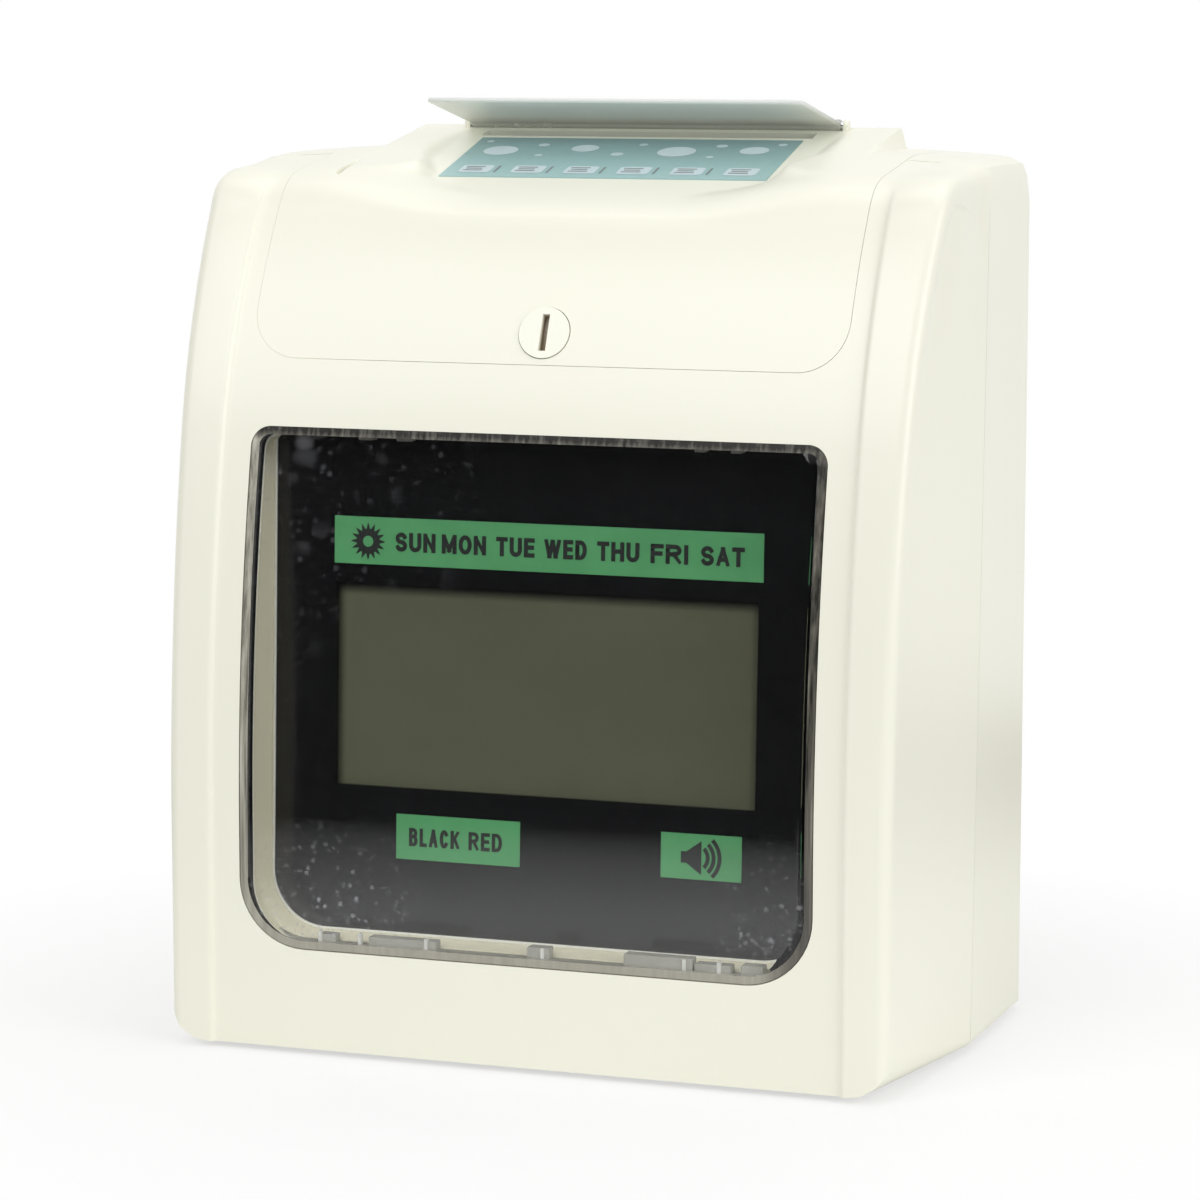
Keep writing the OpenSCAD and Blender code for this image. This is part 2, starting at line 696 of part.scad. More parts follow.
// Clear window: a skin flush with the front panel, a skirt round its edge, and clips
module display_window() {
    skirt_t = 1.6;
    clip_w = 7;
    color(smoke) in_case() union() {
        intersection() {
            window_prism(-seam);
            difference() {
                behind_front(panel_step);
                behind_front(panel_step + window_t);
            }
        }
        intersection() {
            difference() {
                window_prism(-seam);
                window_prism(-seam - skirt_t);
            }
            difference() {
                behind_front(panel_step + window_t - eps);
                behind_front(panel_step + ledge_depth - run);
            }
        }
        // Clips inside the lower skirt
        for (x = [-52, -27, 0, 20, 33, 46]) intersection() {
            block([x - clip_w / 2, 0, window_z], [x + clip_w / 2, 20, window_z + 4]);
            window_prism(-seam - eps);
            difference() {
                behind_front(panel_step + window_t - eps);
                behind_front(panel_step + ledge_depth - run);
            }
        }
    }
}

module display_mask() {
    color(black) in_case() on_display() difference() {
        translate([0, 0, -display_z]) along_y(0, mask_t) window_outline(-fit);
        block([-lcd_w / 2, -1, -lcd_h / 2], [lcd_w / 2, mask_t + 1, lcd_h / 2]);
    }
}

lcd_margin = 3.6;
module lcd_frame() {
    color(grey) in_case() on_display() difference() {
        block([-lcd_w / 2 - 12, mask_t, -lcd_h / 2 - 10], [lcd_w / 2 + 12, board_w, lcd_h / 2 + 10]);
        block([-lcd_w / 2 - lcd_margin, mask_t - 1, -lcd_h / 2 - lcd_margin],
            [lcd_w / 2 + lcd_margin, board_w + 1, lcd_h / 2 + lcd_margin]);
    }
}

module lcd_glass() {
    color([0.33, 0.33, 0.27]) in_case() on_display()
        block([-lcd_w / 2 - lcd_margin + fit, mask_t, -lcd_h / 2 - lcd_margin + fit],
            [lcd_w / 2 + lcd_margin - fit, mask_t + 3, lcd_h / 2 + lcd_margin - fit]);
}

module display_board() {
    color(green_board) in_case() on_display() difference() {
        block([-display_screw_x - 3.5, board_w, -display_screw_v - board_margin],
            [display_screw_x + 3.5, board_w + board_t, display_screw_v + board_margin]);
        for (x = [-1, 1], v = [-1, 1]) translate([0, 0, v * display_screw_v])
            rod_y(board_w - 1, 5, x * display_screw_x, 0, screw_hole);
    }
}

module buzzer() {
    color(black) in_case() on_display() rod_y(board_w + board_t, 9, 41, -34, 11);
}

module display_screws() {
    color(steel) in_case() on_display() for (x = [-1, 1], v = [-1, 1])
        translate([x * display_screw_x, board_w + board_t, v * display_screw_v]) rotate([-90, 0, 0]) screw(7);
}

module chassis_plate() {
    color(steel) in_case() difference() {
        block([-chassis_screw[0] - 8, frame_front - 4, chassis_z],
            [chassis_screw[0] + 8, case_d - 5, chassis_top]);
        for (x = [-1, 1], y = chassis_screw[1])
            translate([x * chassis_screw[0], y, 0]) cylinder(r = screw_hole, h = 20);
        for (x = [-1, 1], y = frame_screw_y) translate([x * (frame_half + sheet_t + 4), y, 0])
            cylinder(r = screw_r, h = 20);
    }
}

module chassis_screws() {
    color(steel) in_case() for (x = [-1, 1], y = chassis_screw[1])
        translate([x * chassis_screw[0], y, chassis_top]) screw(4.5);
}

// One side frame: upright sheet with a foot flange, seats for the cassette and the key panel
module side_frame() {
    difference() {
        union() {
            block([frame_half, frame_front, chassis_top], [frame_half + sheet_t, frame_rear, frame_top]);
            block([frame_half, frame_front + 6, chassis_top],
                [frame_half + sheet_t + flange_w, frame_rear - 7, chassis_top + sheet_t]);
            block([frame_half - 8, rod_y - 8, cassette_z - sheet_t], [frame_half, rod_y + 2, cassette_z]);
            block([frame_half - 5, key_y - 4, key_z - sheet_t], [frame_half, key_y + 4, key_z]);
        }
        rod_x(0, big, rod_y, rod_z, rod_r + run);
        rod_x(0, big, guide_rod_y, rod_z, guide_rod_r + run);
        rod_x(0, big, feed_y, feed_z, feed_shaft_r + run);
        rod_x(0, big, pinch_y, feed_z, pinch_shaft_r + run);
        for (y = frame_screw_y) translate([frame_half + sheet_t + 4, y, 0]) cylinder(r = screw_hole, h = 20);
    }
}

module left_frame() {
    color(steel) in_case() difference() {
        mirror([1, 0, 0]) side_frame();
        for (y = board_screw_y, z = board_screw_z) rod_x(-big, big, y, z, screw_r);
    }
}

module right_frame() {
    color(steel) in_case() difference() {
        side_frame();
        rod_x(0, big, pinion_y, pinion_z, motor_shaft_r + 1.5);
    }
}

module frame_screws() {
    color(steel) in_case() for (x = [-1, 1], y = frame_screw_y)
        translate([x * (frame_half + sheet_t + 4), y, chassis_top + sheet_t]) screw(sheet_t + chassis_t);
}

module carriage_rod() {
    color(steel) in_case() rod_x(-rod_reach, 2 * rod_reach, rod_y, rod_z, rod_r);
}

module guide_rod() {
    color(steel) in_case() rod_x(-rod_reach, 2 * rod_reach, guide_rod_y, rod_z, guide_rod_r);
}

carriage_top = print_z - 1;
module print_carriage() {
    clamp_half = 6;
    belt_run_z = belt_z + pulley_r;
    color(black) in_case() difference() {
        union() {
            block([-carriage_w / 2, guide_rod_y - 6, rod_z - 6], [carriage_w / 2, rod_y + 6, carriage_top]);
            block([-clamp_half, guide_rod_y - 6.5, belt_run_z - 1.5], [clamp_half, guide_rod_y, rod_z]);
        }
        rod_x(-big / 2, big, rod_y, rod_z, rod_r + run);
        rod_x(-big / 2, big, guide_rod_y, rod_z, guide_rod_r + run);
        block([-big, belt_y - seat_gap, belt_run_z - seat_gap],
            [big, belt_y + belt_w + seat_gap, belt_run_z + belt_t + seat_gap]);
    }
}

module print_head() {
    color(grey) in_case() union() {
        block([-8, rod_y - 8, carriage_top], [8, rod_y + 10, print_z + 11]);
        block([-4, rod_y + 10, print_z - 6], [4, ribbon_y - 0.6, print_z + 6]);
        for (i = [0 : 3])
            block([-10, rod_y - 6 + 4 * i, carriage_top], [10, rod_y - 4.5 + 4 * i, print_z + 10]);
    }
}

cassette_front = rod_y - 12;
cassette_rear = rod_y + 14;
module ribbon_cassette() {
    arm_low = print_z - 8;
    color(black) in_case() difference() {
        union() {
            block([-span_half, cassette_front, cassette_z],
                [span_half, cassette_rear, cassette_z + cassette_h]);
            both_sides() block([frame_half - 10.5, cassette_rear - 4, arm_low],
                [frame_half - 4.5, guide_front_y - 0.7, cassette_z + cassette_h]);
        }
        translate([knob_x, knob_y, cassette_z + 6]) cylinder(r = 2 + run, h = 20);
        block([-frame_half + 9, ribbon_y - fit, print_z - 7],
            [frame_half - 9, ribbon_y + ribbon_t + fit, print_z + 7]);
    }
}

module ribbon() {
    color([0.12, 0.10, 0.14]) in_case()
        block([-frame_half + 9, ribbon_y, print_z - 6.5],
            [frame_half - 9, ribbon_y + ribbon_t, print_z + 6.5]);
}

module ribbon_knob() {
    color([0.25, 0.45, 0.75]) in_case() translate([knob_x, knob_y, 0]) union() {
        translate([0, 0, cassette_z + 7]) cylinder(r = 2, h = cassette_h);
        translate([0, 0, cassette_z + cassette_h + seat_gap]) difference() {
            cylinder(r = 7, h = 5);
            for (a = [0 : 30 : 330]) rotate([0, 0, a]) translate([7.4, 0, -1]) cylinder(r = 1, h = 8, $fn = 24);
        }
    }
}

module motor_plate() {
    color(steel) in_case() difference() {
        union() {
            block([-span_half, motor_plate_y, belt_z - 18], [span_half, motor_plate_y + sheet_t, belt_z + 8]);
            rod_y(motor_plate_y, belt_y + belt_w + 2 - motor_plate_y, pulley_x, belt_z, motor_shaft_r);
        }
        rod_y(0, big, -pulley_x, belt_z, motor_shaft_r + 1);
    }
}

module carriage_motor() {
    color(grey) in_case() difference() {
        rod_y(motor_plate_y - motor_len, motor_len, -pulley_x + 2.5, belt_z - 3, motor_r);
        rod_y(0, big, -pulley_x, belt_z, motor_shaft_r + run);
    }
}

// A flanged belt pulley on an axis along y
module pulley(bore) {
    difference() {
        union() {
            rod_y(belt_y - 1, belt_w + 2, 0, 0, pulley_r - seat_gap / 2);
            rod_y(belt_y - 1, 0.8, 0, 0, pulley_r + 1.6);
            rod_y(belt_y + belt_w + 0.2, 0.8, 0, 0, pulley_r + 1.6);
        }
        if (bore > 0) rod_y(0, big, 0, 0, bore);
    }
}

module drive_pulley() {
    color(black) in_case() translate([-pulley_x, 0, belt_z]) union() {
        pulley(0);
        rod_y(motor_plate_y - motor_len + 3, belt_y - 1 - motor_plate_y + motor_len, 0, 0, motor_shaft_r);
    }
}

module idler_pulley() {
    color(black) in_case() translate([pulley_x, 0, belt_z]) pulley(motor_shaft_r + run);
}

module carriage_belt() {
    color(rubber) in_case() along_y(belt_y, belt_w) translate([0, belt_z]) difference() {
        union() {
            for (x = [-1, 1]) translate([x * pulley_x, 0]) circle(pulley_r + belt_t);
            translate([-pulley_x, -pulley_r - belt_t]) square([2 * pulley_x, 2 * (pulley_r + belt_t)]);
        }
        union() {
            for (x = [-1, 1]) translate([x * pulley_x, 0]) circle(pulley_r);
            translate([-pulley_x, -pulley_r]) square([2 * pulley_x, 2 * pulley_r]);
        }
    }
}

// Roller windows in a guide plate whose rollers stand r tall at the plate
module roller_windows(r) {
    for (x = [-1, 1]) block([x * roller_x - roller_w / 2 - 1.5, 0, feed_z - r - 1.5],
        [x * roller_x + roller_w / 2 + 1.5, big, feed_z + r + 1.5]);
}

module front_guide() {
    color(steel) in_case() difference() {
        block([-span_half, guide_front_y, guide_low_z], [span_half, guide_front_y + guide_t, guide_top_z]);
        block([-card_w / 2 - 3, 0, print_z - 8], [card_w / 2 + 3, big, print_z + 8]);
        roller_windows(feed_r);
    }
}

module rear_guide() {
    color(steel) in_case() difference() {
        union() {
            block([-span_half, guide_rear_y, guide_low_z], [span_half, guide_rear_y + guide_t, guide_top_z]);
            // Card stop across the foot of the channel
            block([-card_w / 2 - 6, guide_front_y + guide_t, guide_low_z],
                [card_w / 2 + 6, guide_rear_y, guide_low_z + guide_t]);
        }
        block([-card_w / 2 - 3 - fit, 0, print_z - 5 - fit], [card_w / 2 + 3 + fit, big, print_z + 5 + fit]);
        roller_windows(pinch_r);
    }
}

module platen() {
    color(rubber) in_case() union() {
        block([-span_half, guide_rear_y + guide_t, print_z - 7],
            [span_half, guide_rear_y + guide_t + 4, print_z + 7]);
        block([-card_w / 2 - 3, guide_rear_y, print_z - 5],
            [card_w / 2 + 3, guide_rear_y + guide_t, print_z + 5]);
    }
}

module feed_shaft() {
    color(steel) in_case() rod_x(-rod_reach, rod_reach + gear_x + gear_w + 1, feed_y, feed_z, feed_shaft_r);
}

module feed_rollers() {
    color(rubber) in_case() for (x = [-1, 1]) difference() {
        rod_x(x * roller_x - roller_w / 2, roller_w, feed_y, feed_z, feed_r);
        rod_x(-big / 2, big, feed_y, feed_z, feed_shaft_r);
    }
}

// Spur gear outline with a tooth on the first axis
module gear_outline(teeth) {
    pitch_r = gear_module * teeth / 2;
    root_r = pitch_r - 1.15 * gear_module;
    tip_r = pitch_r + 0.85 * gear_module;
    step = 360 / teeth;
    polygon([for (i = [0 : teeth - 1], k = [[root_r, -0.34], [pitch_r, -0.21], [tip_r, -0.1],
        [tip_r, 0.1], [pitch_r, 0.21], [root_r, 0.34]])
        k[0] * [cos((i + k[1]) * step), sin((i + k[1]) * step)]]);
}

module feed_gear() {
    color([0.92, 0.90, 0.84]) in_case() difference() {
        along_x(gear_x, gear_w) translate([feed_y, feed_z]) rotate(180 + pinion_side) gear_outline(gear_teeth);
        rod_x(0, big, feed_y, feed_z, feed_shaft_r);
        for (a = [0 : 60 : 300]) rod_x(0, big, feed_y + 8 * cos(a), feed_z + 8 * sin(a), 2);
    }
}

module pinch_roller() {
    color(rubber) in_case() union() {
        rod_x(-rod_reach, 2 * rod_reach, pinch_y, feed_z, pinch_shaft_r);
        for (x = [-1, 1]) rod_x(x * roller_x - roller_w / 2, roller_w, pinch_y, feed_z, pinch_r);
    }
}

module feed_motor() {
    length = 15;
    color(grey) in_case() difference() {
        rod_x(frame_half - length, length, pinion_y, pinion_z, motor_r);
        rod_x(0, big, pinion_y, pinion_z, motor_shaft_r + run);
    }
}

module motor_pinion() {
    color([0.80, 0.66, 0.35]) in_case() union() {
        along_x(gear_x, gear_w) translate([pinion_y, pinion_z]) rotate(pinion_side + 180 / pinion_teeth)
            gear_outline(pinion_teeth);
        rod_x(frame_half - 12, gear_x - frame_half + 13, pinion_y, pinion_z, motor_shaft_r);
    }
}

module key_panel() {
    color(grey) in_case() difference() {
        union() {
            block([-span_half, key_y - 6, key_z], [span_half, key_y + 6, key_z + key_t]);
            for (x = key_post_x)
                block([x - 2, key_y - 5, key_board_z + board_t], [x + 2, key_y + 5, key_z + eps]);
        }
        for (i = [0 : 3])
            translate([key_first_x + i * key_pitch, key_y, 0]) cylinder(r = key_r + seat_gap, h = big);
    }
}

module key_board() {
    color(green_board) in_case() block([key_post_x[0] - 4, key_y - 6, key_board_z],
        [key_post_x[1] + 4, key_y + 6, key_board_z + board_t]);
}

// A key cap with its retaining flange under the panel
module key_cap(index) {
    color([0.85, 0.85, 0.80]) in_case() translate([key_first_x + index * key_pitch, key_y, 0]) union() {
        translate([0, 0, key_z - key_drop]) cylinder(r = key_r + 1.2, h = 1.4);
        translate([0, 0, key_z - key_drop]) cylinder(r = key_r, h = key_drop + key_t + 4);
    }
}
module key_1() { key_cap(0); }
module key_2() { key_cap(1); }
module key_3() { key_cap(2); }
module key_4() { key_cap(3); }

module main_board() {
    low = [board_screw_y[0] - 5, board_screw_z[0] - 6];
    high = [board_screw_y[1] + 5, board_screw_z[1] + 6];
    color(green_board) in_case() difference() {
        union() {
            block([-board_x - board_t, low[0], low[1]], [-board_x, high[0], high[1]]);
            block([-board_x - board_t - 2.5, low[0] + 12, 70], [-board_x - board_t, low[0] + 34, 92]);
            block([-board_x - board_t - 2.5, low[0] + 12, 50], [-board_x - board_t, low[0] + 26, 58]);
            block([-board_x - board_t - 6, low[0] + 10, 100], [-board_x - board_t, low[0] + 40, 106]);
            rod_x(-board_x - board_t - 8, 8, high[0] - 10, 60, 4);
        }
        for (y = board_screw_y, z = board_screw_z) rod_x(-big, big, y, z, screw_hole);
    }
}

module board_standoffs() {
    color(steel) in_case() for (y = board_screw_y, z = board_screw_z) difference() {
        rod_x(-board_x, board_x - frame_half - sheet_t, y, z, 3);
        rod_x(-big, big, y, z, screw_r);
    }
}

module board_screws() {
    color(steel) in_case() for (y = board_screw_y, z = board_screw_z)
        translate([-board_x - board_t, y, z]) rotate([0, -90, 0]) screw(7);
}

module transformer() {
    core = [44, 34, 38];
    low = [-46, throat_y - 40, chassis_top];
    color([0.55, 0.50, 0.42]) in_case() union() {
        block(low, low + core);
        block(low + [10, -5, 6], low + [34, core[1] + 5, 32]);
    }
}

module backup_battery() {
    cell_r = 7;
    color([0.20, 0.45, 0.30]) in_case() union() {
        for (i = [0 : 1]) rod_x(14, 34, throat_y - 34 + 2 * i * cell_r, chassis_top + cell_r, cell_r);
        block([14, throat_y - 34, chassis_top], [48, throat_y - 34 + 2 * cell_r, chassis_top + 2 * cell_r]);
    }
}

module power_inlet() {
    socket = [17, 12, 8.4];
    color(black) in_case() translate([inlet_x, case_d, inlet_z]) union() {
        difference() {
            union() {
                block([-inlet_flange[0] / 2, -inlet_flange[1], -inlet_flange[2] / 2],
                    [inlet_flange[0] / 2, 0, inlet_flange[2] / 2]);
                block([-inlet_body[0] / 2, -inlet_body[1], -inlet_body[2] / 2],
                    [inlet_body[0] / 2, -inlet_flange[1] + eps, inlet_body[2] / 2]);
            }
            block([-socket[0] / 2, -socket[1], -socket[2] / 2], [socket[0] / 2, 1, socket[2] / 2]);
        }
        for (x = [-1, 1]) rod_y(-socket[1] - 1, socket[1] - 2, x * 4.4, 0, 1.1);
    }
}

module feet() {
    color(rubber) in_case() for (x = [-1, 1], y = foot_y) translate([x * foot_x, y, 0]) union() {
        translate([0, 0, -foot_h]) cylinder(r = foot_r, h = foot_h);
        translate([0, 0, -foot_h / 2]) cylinder(r = foot_peg_r, h = foot_h / 2 + wall);
    }
}

module case_screws() {
    color(steel) in_case() for (x = [-1, 1], z = case_screw_z)
        translate([x * case_screw_x, counterbore_y, z]) rotate([-90, 0, 0])
            screw(counterbore_y - parting_at(z) + 14, 1.4 - run);
}

front_case();
rear_case();
top_lid();
hinge_pins();
throat_flap();
flap_pin();
instruction_label();
lock_barrel();
lock_cam();
lock_screw();
display_window();
display_mask();
lcd_frame();
lcd_glass();
display_board();
buzzer();
display_screws();
chassis_plate();
chassis_screws();
left_frame();
right_frame();
frame_screws();
carriage_rod();
guide_rod();
print_carriage();
print_head();
ribbon_cassette();
ribbon();
ribbon_knob();
motor_plate();
carriage_motor();
drive_pulley();
idler_pulley();
carriage_belt();
front_guide();
rear_guide();
platen();
feed_shaft();
feed_rollers();
feed_gear();
pinch_roller();
feed_motor();
motor_pinion();
key_panel();
key_1();
key_2();
key_3();
key_4();
key_board();
main_board();
board_standoffs();
board_screws();
transformer();
backup_battery();
power_inlet();
feet();
case_screws();
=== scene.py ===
import math

import bmesh
import bpy
import numpy as np
from mathutils import Matrix, Vector


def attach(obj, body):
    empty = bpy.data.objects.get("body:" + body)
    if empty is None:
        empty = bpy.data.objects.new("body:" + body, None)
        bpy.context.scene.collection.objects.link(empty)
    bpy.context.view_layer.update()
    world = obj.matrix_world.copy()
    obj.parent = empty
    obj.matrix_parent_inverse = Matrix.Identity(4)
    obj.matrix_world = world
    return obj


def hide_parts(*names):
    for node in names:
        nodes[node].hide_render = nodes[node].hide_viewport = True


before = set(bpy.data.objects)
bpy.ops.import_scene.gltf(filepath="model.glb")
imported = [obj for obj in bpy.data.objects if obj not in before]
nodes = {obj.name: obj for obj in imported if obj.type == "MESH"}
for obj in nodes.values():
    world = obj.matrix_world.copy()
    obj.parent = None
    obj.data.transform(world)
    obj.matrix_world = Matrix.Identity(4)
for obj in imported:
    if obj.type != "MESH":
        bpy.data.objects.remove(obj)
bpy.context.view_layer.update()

# Case measures in millimetres: x to the right, y back from the front face, z up from the underside
case = dict(frontHalf=92.5, rearHalf=97.0, depth=110.0, height=218.5, partingY=58.0, partingLean=2.44,
            panelStep=1.0, wall=2.4, eased=0.22, edgeRound=3.2, shoulderRound=10.5, lowerCorner=10.0,
            rearCorner=2.0, seam=0.05, footHeight=1.5, crown=1.1, crownX=(66, 20), crownY=(22, 44),
            crownZ=(190, 28), panelEnd=60, panelFade=26, bulge=1.3, sideRun=62.0, turnHeight=204.4,
            topBack=67.1, fanHeight=150.0)
frontCurve = dict(leans=(0, 0, 12, 34, 80, 80, 90, 90),
                  runs=(52.05, 480 * math.radians(12), 150 * math.radians(22), 22 * math.radians(46), 21.25,
                        60 * math.radians(10), 60.0))
partingTan = math.tan(math.radians(case["partingLean"]))
mirror = np.array([-1, 1, 1])
quarter = np.linspace(0, math.pi / 2, 13)


def tone(red, green, blue):
    # A colour written as on a screen, turned into light values
    share = np.array([red, green, blue]) / 255
    light = np.where(share <= 0.04045, share / 12.92, ((share + 0.055) / 1.055) ** 2.4)
    return (*light.tolist(), 1.0)


def softStep(value):
    # Cubic step from 0 to 1
    clipped = np.clip(value, 0, 1)
    return clipped * clipped * (3 - 2 * clipped)


def softRise(value, start, run):
    # Cubic step that leaves 0 at a start and takes a run to reach 1
    return softStep((value - start) / run)


def softFall(value, end, run):
    # Cubic step that is 1 until a run before its end and 0 from the end on
    return softStep((end - value) / run)


def stations(start, *runs):
    # Values from a start through runs of (end, count), even within each run, with shared ends kept once
    values = [np.array([start], float)]
    for end, count in runs:
        values.append(np.linspace(values[-1][-1], end, count)[1:])
    return np.concatenate(values)


def stacked(x, y, z):
    # Coordinates spread over a common grid and stacked as points
    return np.stack(np.broadcast_arrays(x, y, z), -1)


# Side profile: the lean runs evenly with arc length through the knots, and the sums of its sine and cosine
# give y and z
knots = np.concatenate([[0], np.cumsum(frontCurve["runs"])])
fineLength = np.linspace(0, knots[-1], 40001)
fineLean = np.radians(np.interp(fineLength, knots, frontCurve["leans"]))
fineStep = np.diff(fineLength)
fineY, fineZ = (np.concatenate([[0], np.cumsum(fineStep * (line[1:] + line[:-1]) / 2)])
                for line in (np.sin(fineLean), np.cos(fineLean)))


def profileAt(length):
    # Depth, height and lean of the side profile at an arc length
    return tuple(np.interp(length, fineLength, line) for line in (fineY, fineZ, fineLean))


def lengthAtHeight(height):
    # Arc length where the profile reaches a height
    return np.interp(height, fineZ, fineLength)


def lengthAtDepth(depth):
    # Arc length where the profile reaches a depth
    return np.interp(depth, fineY, fineLength)


def frontAt(height):
    # Depth of the front surface at a height
    return np.interp(height, fineZ, fineY)


def partingAt(height):
    # Depth of the leaning parting line at a height
    return case["partingY"] + height * partingTan


def panelDepth(lean):
    # The front panel lies this far behind the cheeks and comes up to them on the turn
    return case["panelStep"] * np.clip((case["panelEnd"] - np.degrees(lean)) / case["panelFade"], 0, 1)


def onPanel(y, z, lean, depth):
    # Depth and height of the profile moved inwards along its normal
    return y + np.cos(lean) * depth, z - np.sin(lean) * depth


def crownAt(x, y, z):
    # How far the top falls towards the sides, less so near the front
    return (case["crown"] * softRise(abs(x), *case["crownX"]) * softRise(z, *case["crownZ"])
            * softRise(y, *case["crownY"]))


def toFrame(points):
    # Case millimetres to metres of the shared frame
    return (np.asarray(points, float) + np.array([0, -case["depth"] / 2, case["footHeight"]])) / 1000


def gridFaces(rows, columns, first, ring):
    # Four-sided faces between neighbours of a grid, whose last column may meet its first
    row, column = np.meshgrid(np.arange(rows - 1), np.arange(columns if ring else columns - 1), indexing="ij")
    near = first + row * columns + column
    beside = first + row * columns + (column + 1) % columns
    return np.stack([near, beside, beside + columns, near + columns], -1).reshape(-1, 4)


def ringed(grid):
    # A grid whose columns close to a ring
    return grid, True, None


def joinGrids(grids):
    # Grids as one list of points and one of faces; a grid is an open sheet of points, or it comes with
    # whether it is a ring and with a mask of the faces kept
    points, faces, count = [], [], 0
    for grid in grids:
        block, ring, keep = grid if isinstance(grid, tuple) else (grid, False, None)
        made = gridFaces(*block.shape[:2], count, ring)
        points.append(block.reshape(-1, 3))
        faces.append(made if keep is None else made[keep.reshape(-1)])
        count += len(points[-1])
    return np.concatenate(points), np.concatenate(faces)


def addObject(name, data):
    # A new object in the scene
    made = bpy.data.objects.new(name, data)
    bpy.context.scene.collection.objects.link(made)
    return made


def smoothBelow(mesh, angle):
    # Smooth shading, with edges over an angle in degrees left sharp
    mesh.polygons.foreach_set("use_smooth", np.ones(len(mesh.polygons), bool))
    mesh.set_sharp_from_angle(angle=math.radians(angle))


def easeEdges(piece, width, angle):
    # A bevel of two steps on edges over an angle in degrees
    ease = piece.modifiers.new("eased edges", "BEVEL")
    ease.width = width / 1000
    ease.segments = 2
    ease.limit_method = "ANGLE"
    ease.angle_limit = math.radians(angle)
    ease.harden_normals = True


def carry(piece, body, standsFor):
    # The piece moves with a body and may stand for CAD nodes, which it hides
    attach(piece, body)
    if standsFor:
        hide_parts(*standsFor)


def makePiece(name, grids, body, finish, standsFor=(), inside=None, wall=0, bevel=0, sharp=35,
              facing=1):
    # A mesh from case-millimetre grids with its doubles merged and its faces turned away from the inside
    # point, or towards it where facing is -1, then a wall and a bevel
    points, faces = joinGrids(grids)
    mesh = bpy.data.meshes.new(name)
    mesh.from_pydata(toFrame(points).tolist(), [], faces.tolist())
    work = bmesh.new()
    work.from_mesh(mesh)
    bmesh.ops.remove_doubles(work, verts=work.verts, dist=1e-5)
    bmesh.ops.dissolve_degenerate(work, edges=work.edges, dist=1e-6)
    bmesh.ops.recalc_face_normals(work, faces=work.faces)
    if inside is not None:
        middle = toFrame(inside)
        away = sum(f.calc_area() * float(np.dot(f.normal, np.array(f.calc_center_median()) - middle))
                   for f in work.faces)
        if away * facing < 0:
            bmesh.ops.reverse_faces(work, faces=work.faces)
    work.to_mesh(mesh)
    work.free()
    smoothBelow(mesh, sharp)
    mesh.materials.append(finishes[finish])
    piece = addObject(name, mesh)
    if wall:
        thicken = piece.modifiers.new("wall", "SOLIDIFY")
        thicken.thickness = wall / 1000
        thicken.offset = -1
        thicken.use_even_offset = True
    if bevel:
        easeEdges(piece, bevel, 45)
    carry(piece, body, standsFor)


def openCopy(node):
    # A copy of a node's mesh with its doubles merged, and the bmesh to work on
    mesh = nodes[node].data.copy()
    work = bmesh.new()
    work.from_mesh(mesh)
    bmesh.ops.remove_doubles(work, verts=work.verts, dist=1e-6)
    return mesh, work


def closeCopy(mesh, work):
    # The worked bmesh put back into its mesh, and the mesh's points
    work.to_mesh(mesh)
    work.free()
    points = np.zeros(len(mesh.vertices) * 3)
    mesh.vertices.foreach_get("co", points)
    return points.reshape(-1, 3)


def placeCopy(name, mesh, points, finish, sharp, body, node):
    # The copy with its moved points and finish, as the piece that stands for its node
    mesh.vertices.foreach_set("co", points.reshape(-1))
    mesh.materials.clear()
    mesh.materials.append(finish)
    smoothBelow(mesh, sharp)
    piece = addObject(name, mesh)
    carry(piece, body, [node])
    return piece


# Finishes
def feed(tree, sockets, values):
    # Sockets linked to other sockets or set to plain values
    for key, value in values.items():
        if isinstance(value, bpy.types.NodeSocket):
            tree.links.new(value, sockets[key])
        else:
            sockets[key].default_value = value


def nodeOf(tree, kind, values, operation=None):
    # The outputs of a new node with its inputs fed
    node = tree.nodes.new("ShaderNode" + kind)
    if operation:
        node.operation = operation
    feed(tree, node.inputs, values)
    return node.outputs


def startFinish(name):
    # An empty node finish with its shader and Object coordinates
    made = bpy.data.materials.new(name)
    made.use_nodes = True
    tree = made.node_tree
    return made, tree, tree.nodes["Principled BSDF"], nodeOf(tree, "TexCoord", {})["Object"]


def stretched(tree, place, stretch):
    # Coordinates scaled along each axis, so that a pattern runs in streaks
    return nodeOf(tree, "Mapping", {"Scale": stretch, "Vector": place})["Vector"]


def splitOf(tree, place):
    # The three coordinates of a place
    return nodeOf(tree, "SeparateXYZ", {"Vector": place})


def noiseOf(tree, place, scale, detail=4.0):
    # Cloudy noise between 0 and 1
    values = {"Scale": scale, "Detail": detail, "Roughness": 0.55, "Vector": place}
    return nodeOf(tree, "TexNoise", values)["Fac"]


def rampOf(tree, fac, stops):
    # Colours, written as on a screen, at places along 0 to 1
    ramp = tree.nodes.new("ShaderNodeValToRGB")
    elements = ramp.color_ramp.elements
    while len(elements) < len(stops):
        elements.new(0.5)
    for element, (position, color) in zip(elements, stops):
        element.position = position
        element.color = tone(*color)
    tree.links.new(fac, ramp.inputs["Fac"])
    return ramp.outputs["Color"]


def rangeOf(tree, fac, low, high, fromLow=0.3, fromHigh=0.7):
    # A number carried from one range to another
    values = {"Value": fac, "From Min": fromLow, "From Max": fromHigh, "To Min": low, "To Max": high}
    return nodeOf(tree, "MapRange", values)["Result"]


def bumpOf(tree, fac, distance):
    # Small relief from a pattern
    return nodeOf(tree, "Bump", {"Strength": 0.4, "Distance": distance, "Height": fac})["Normal"]


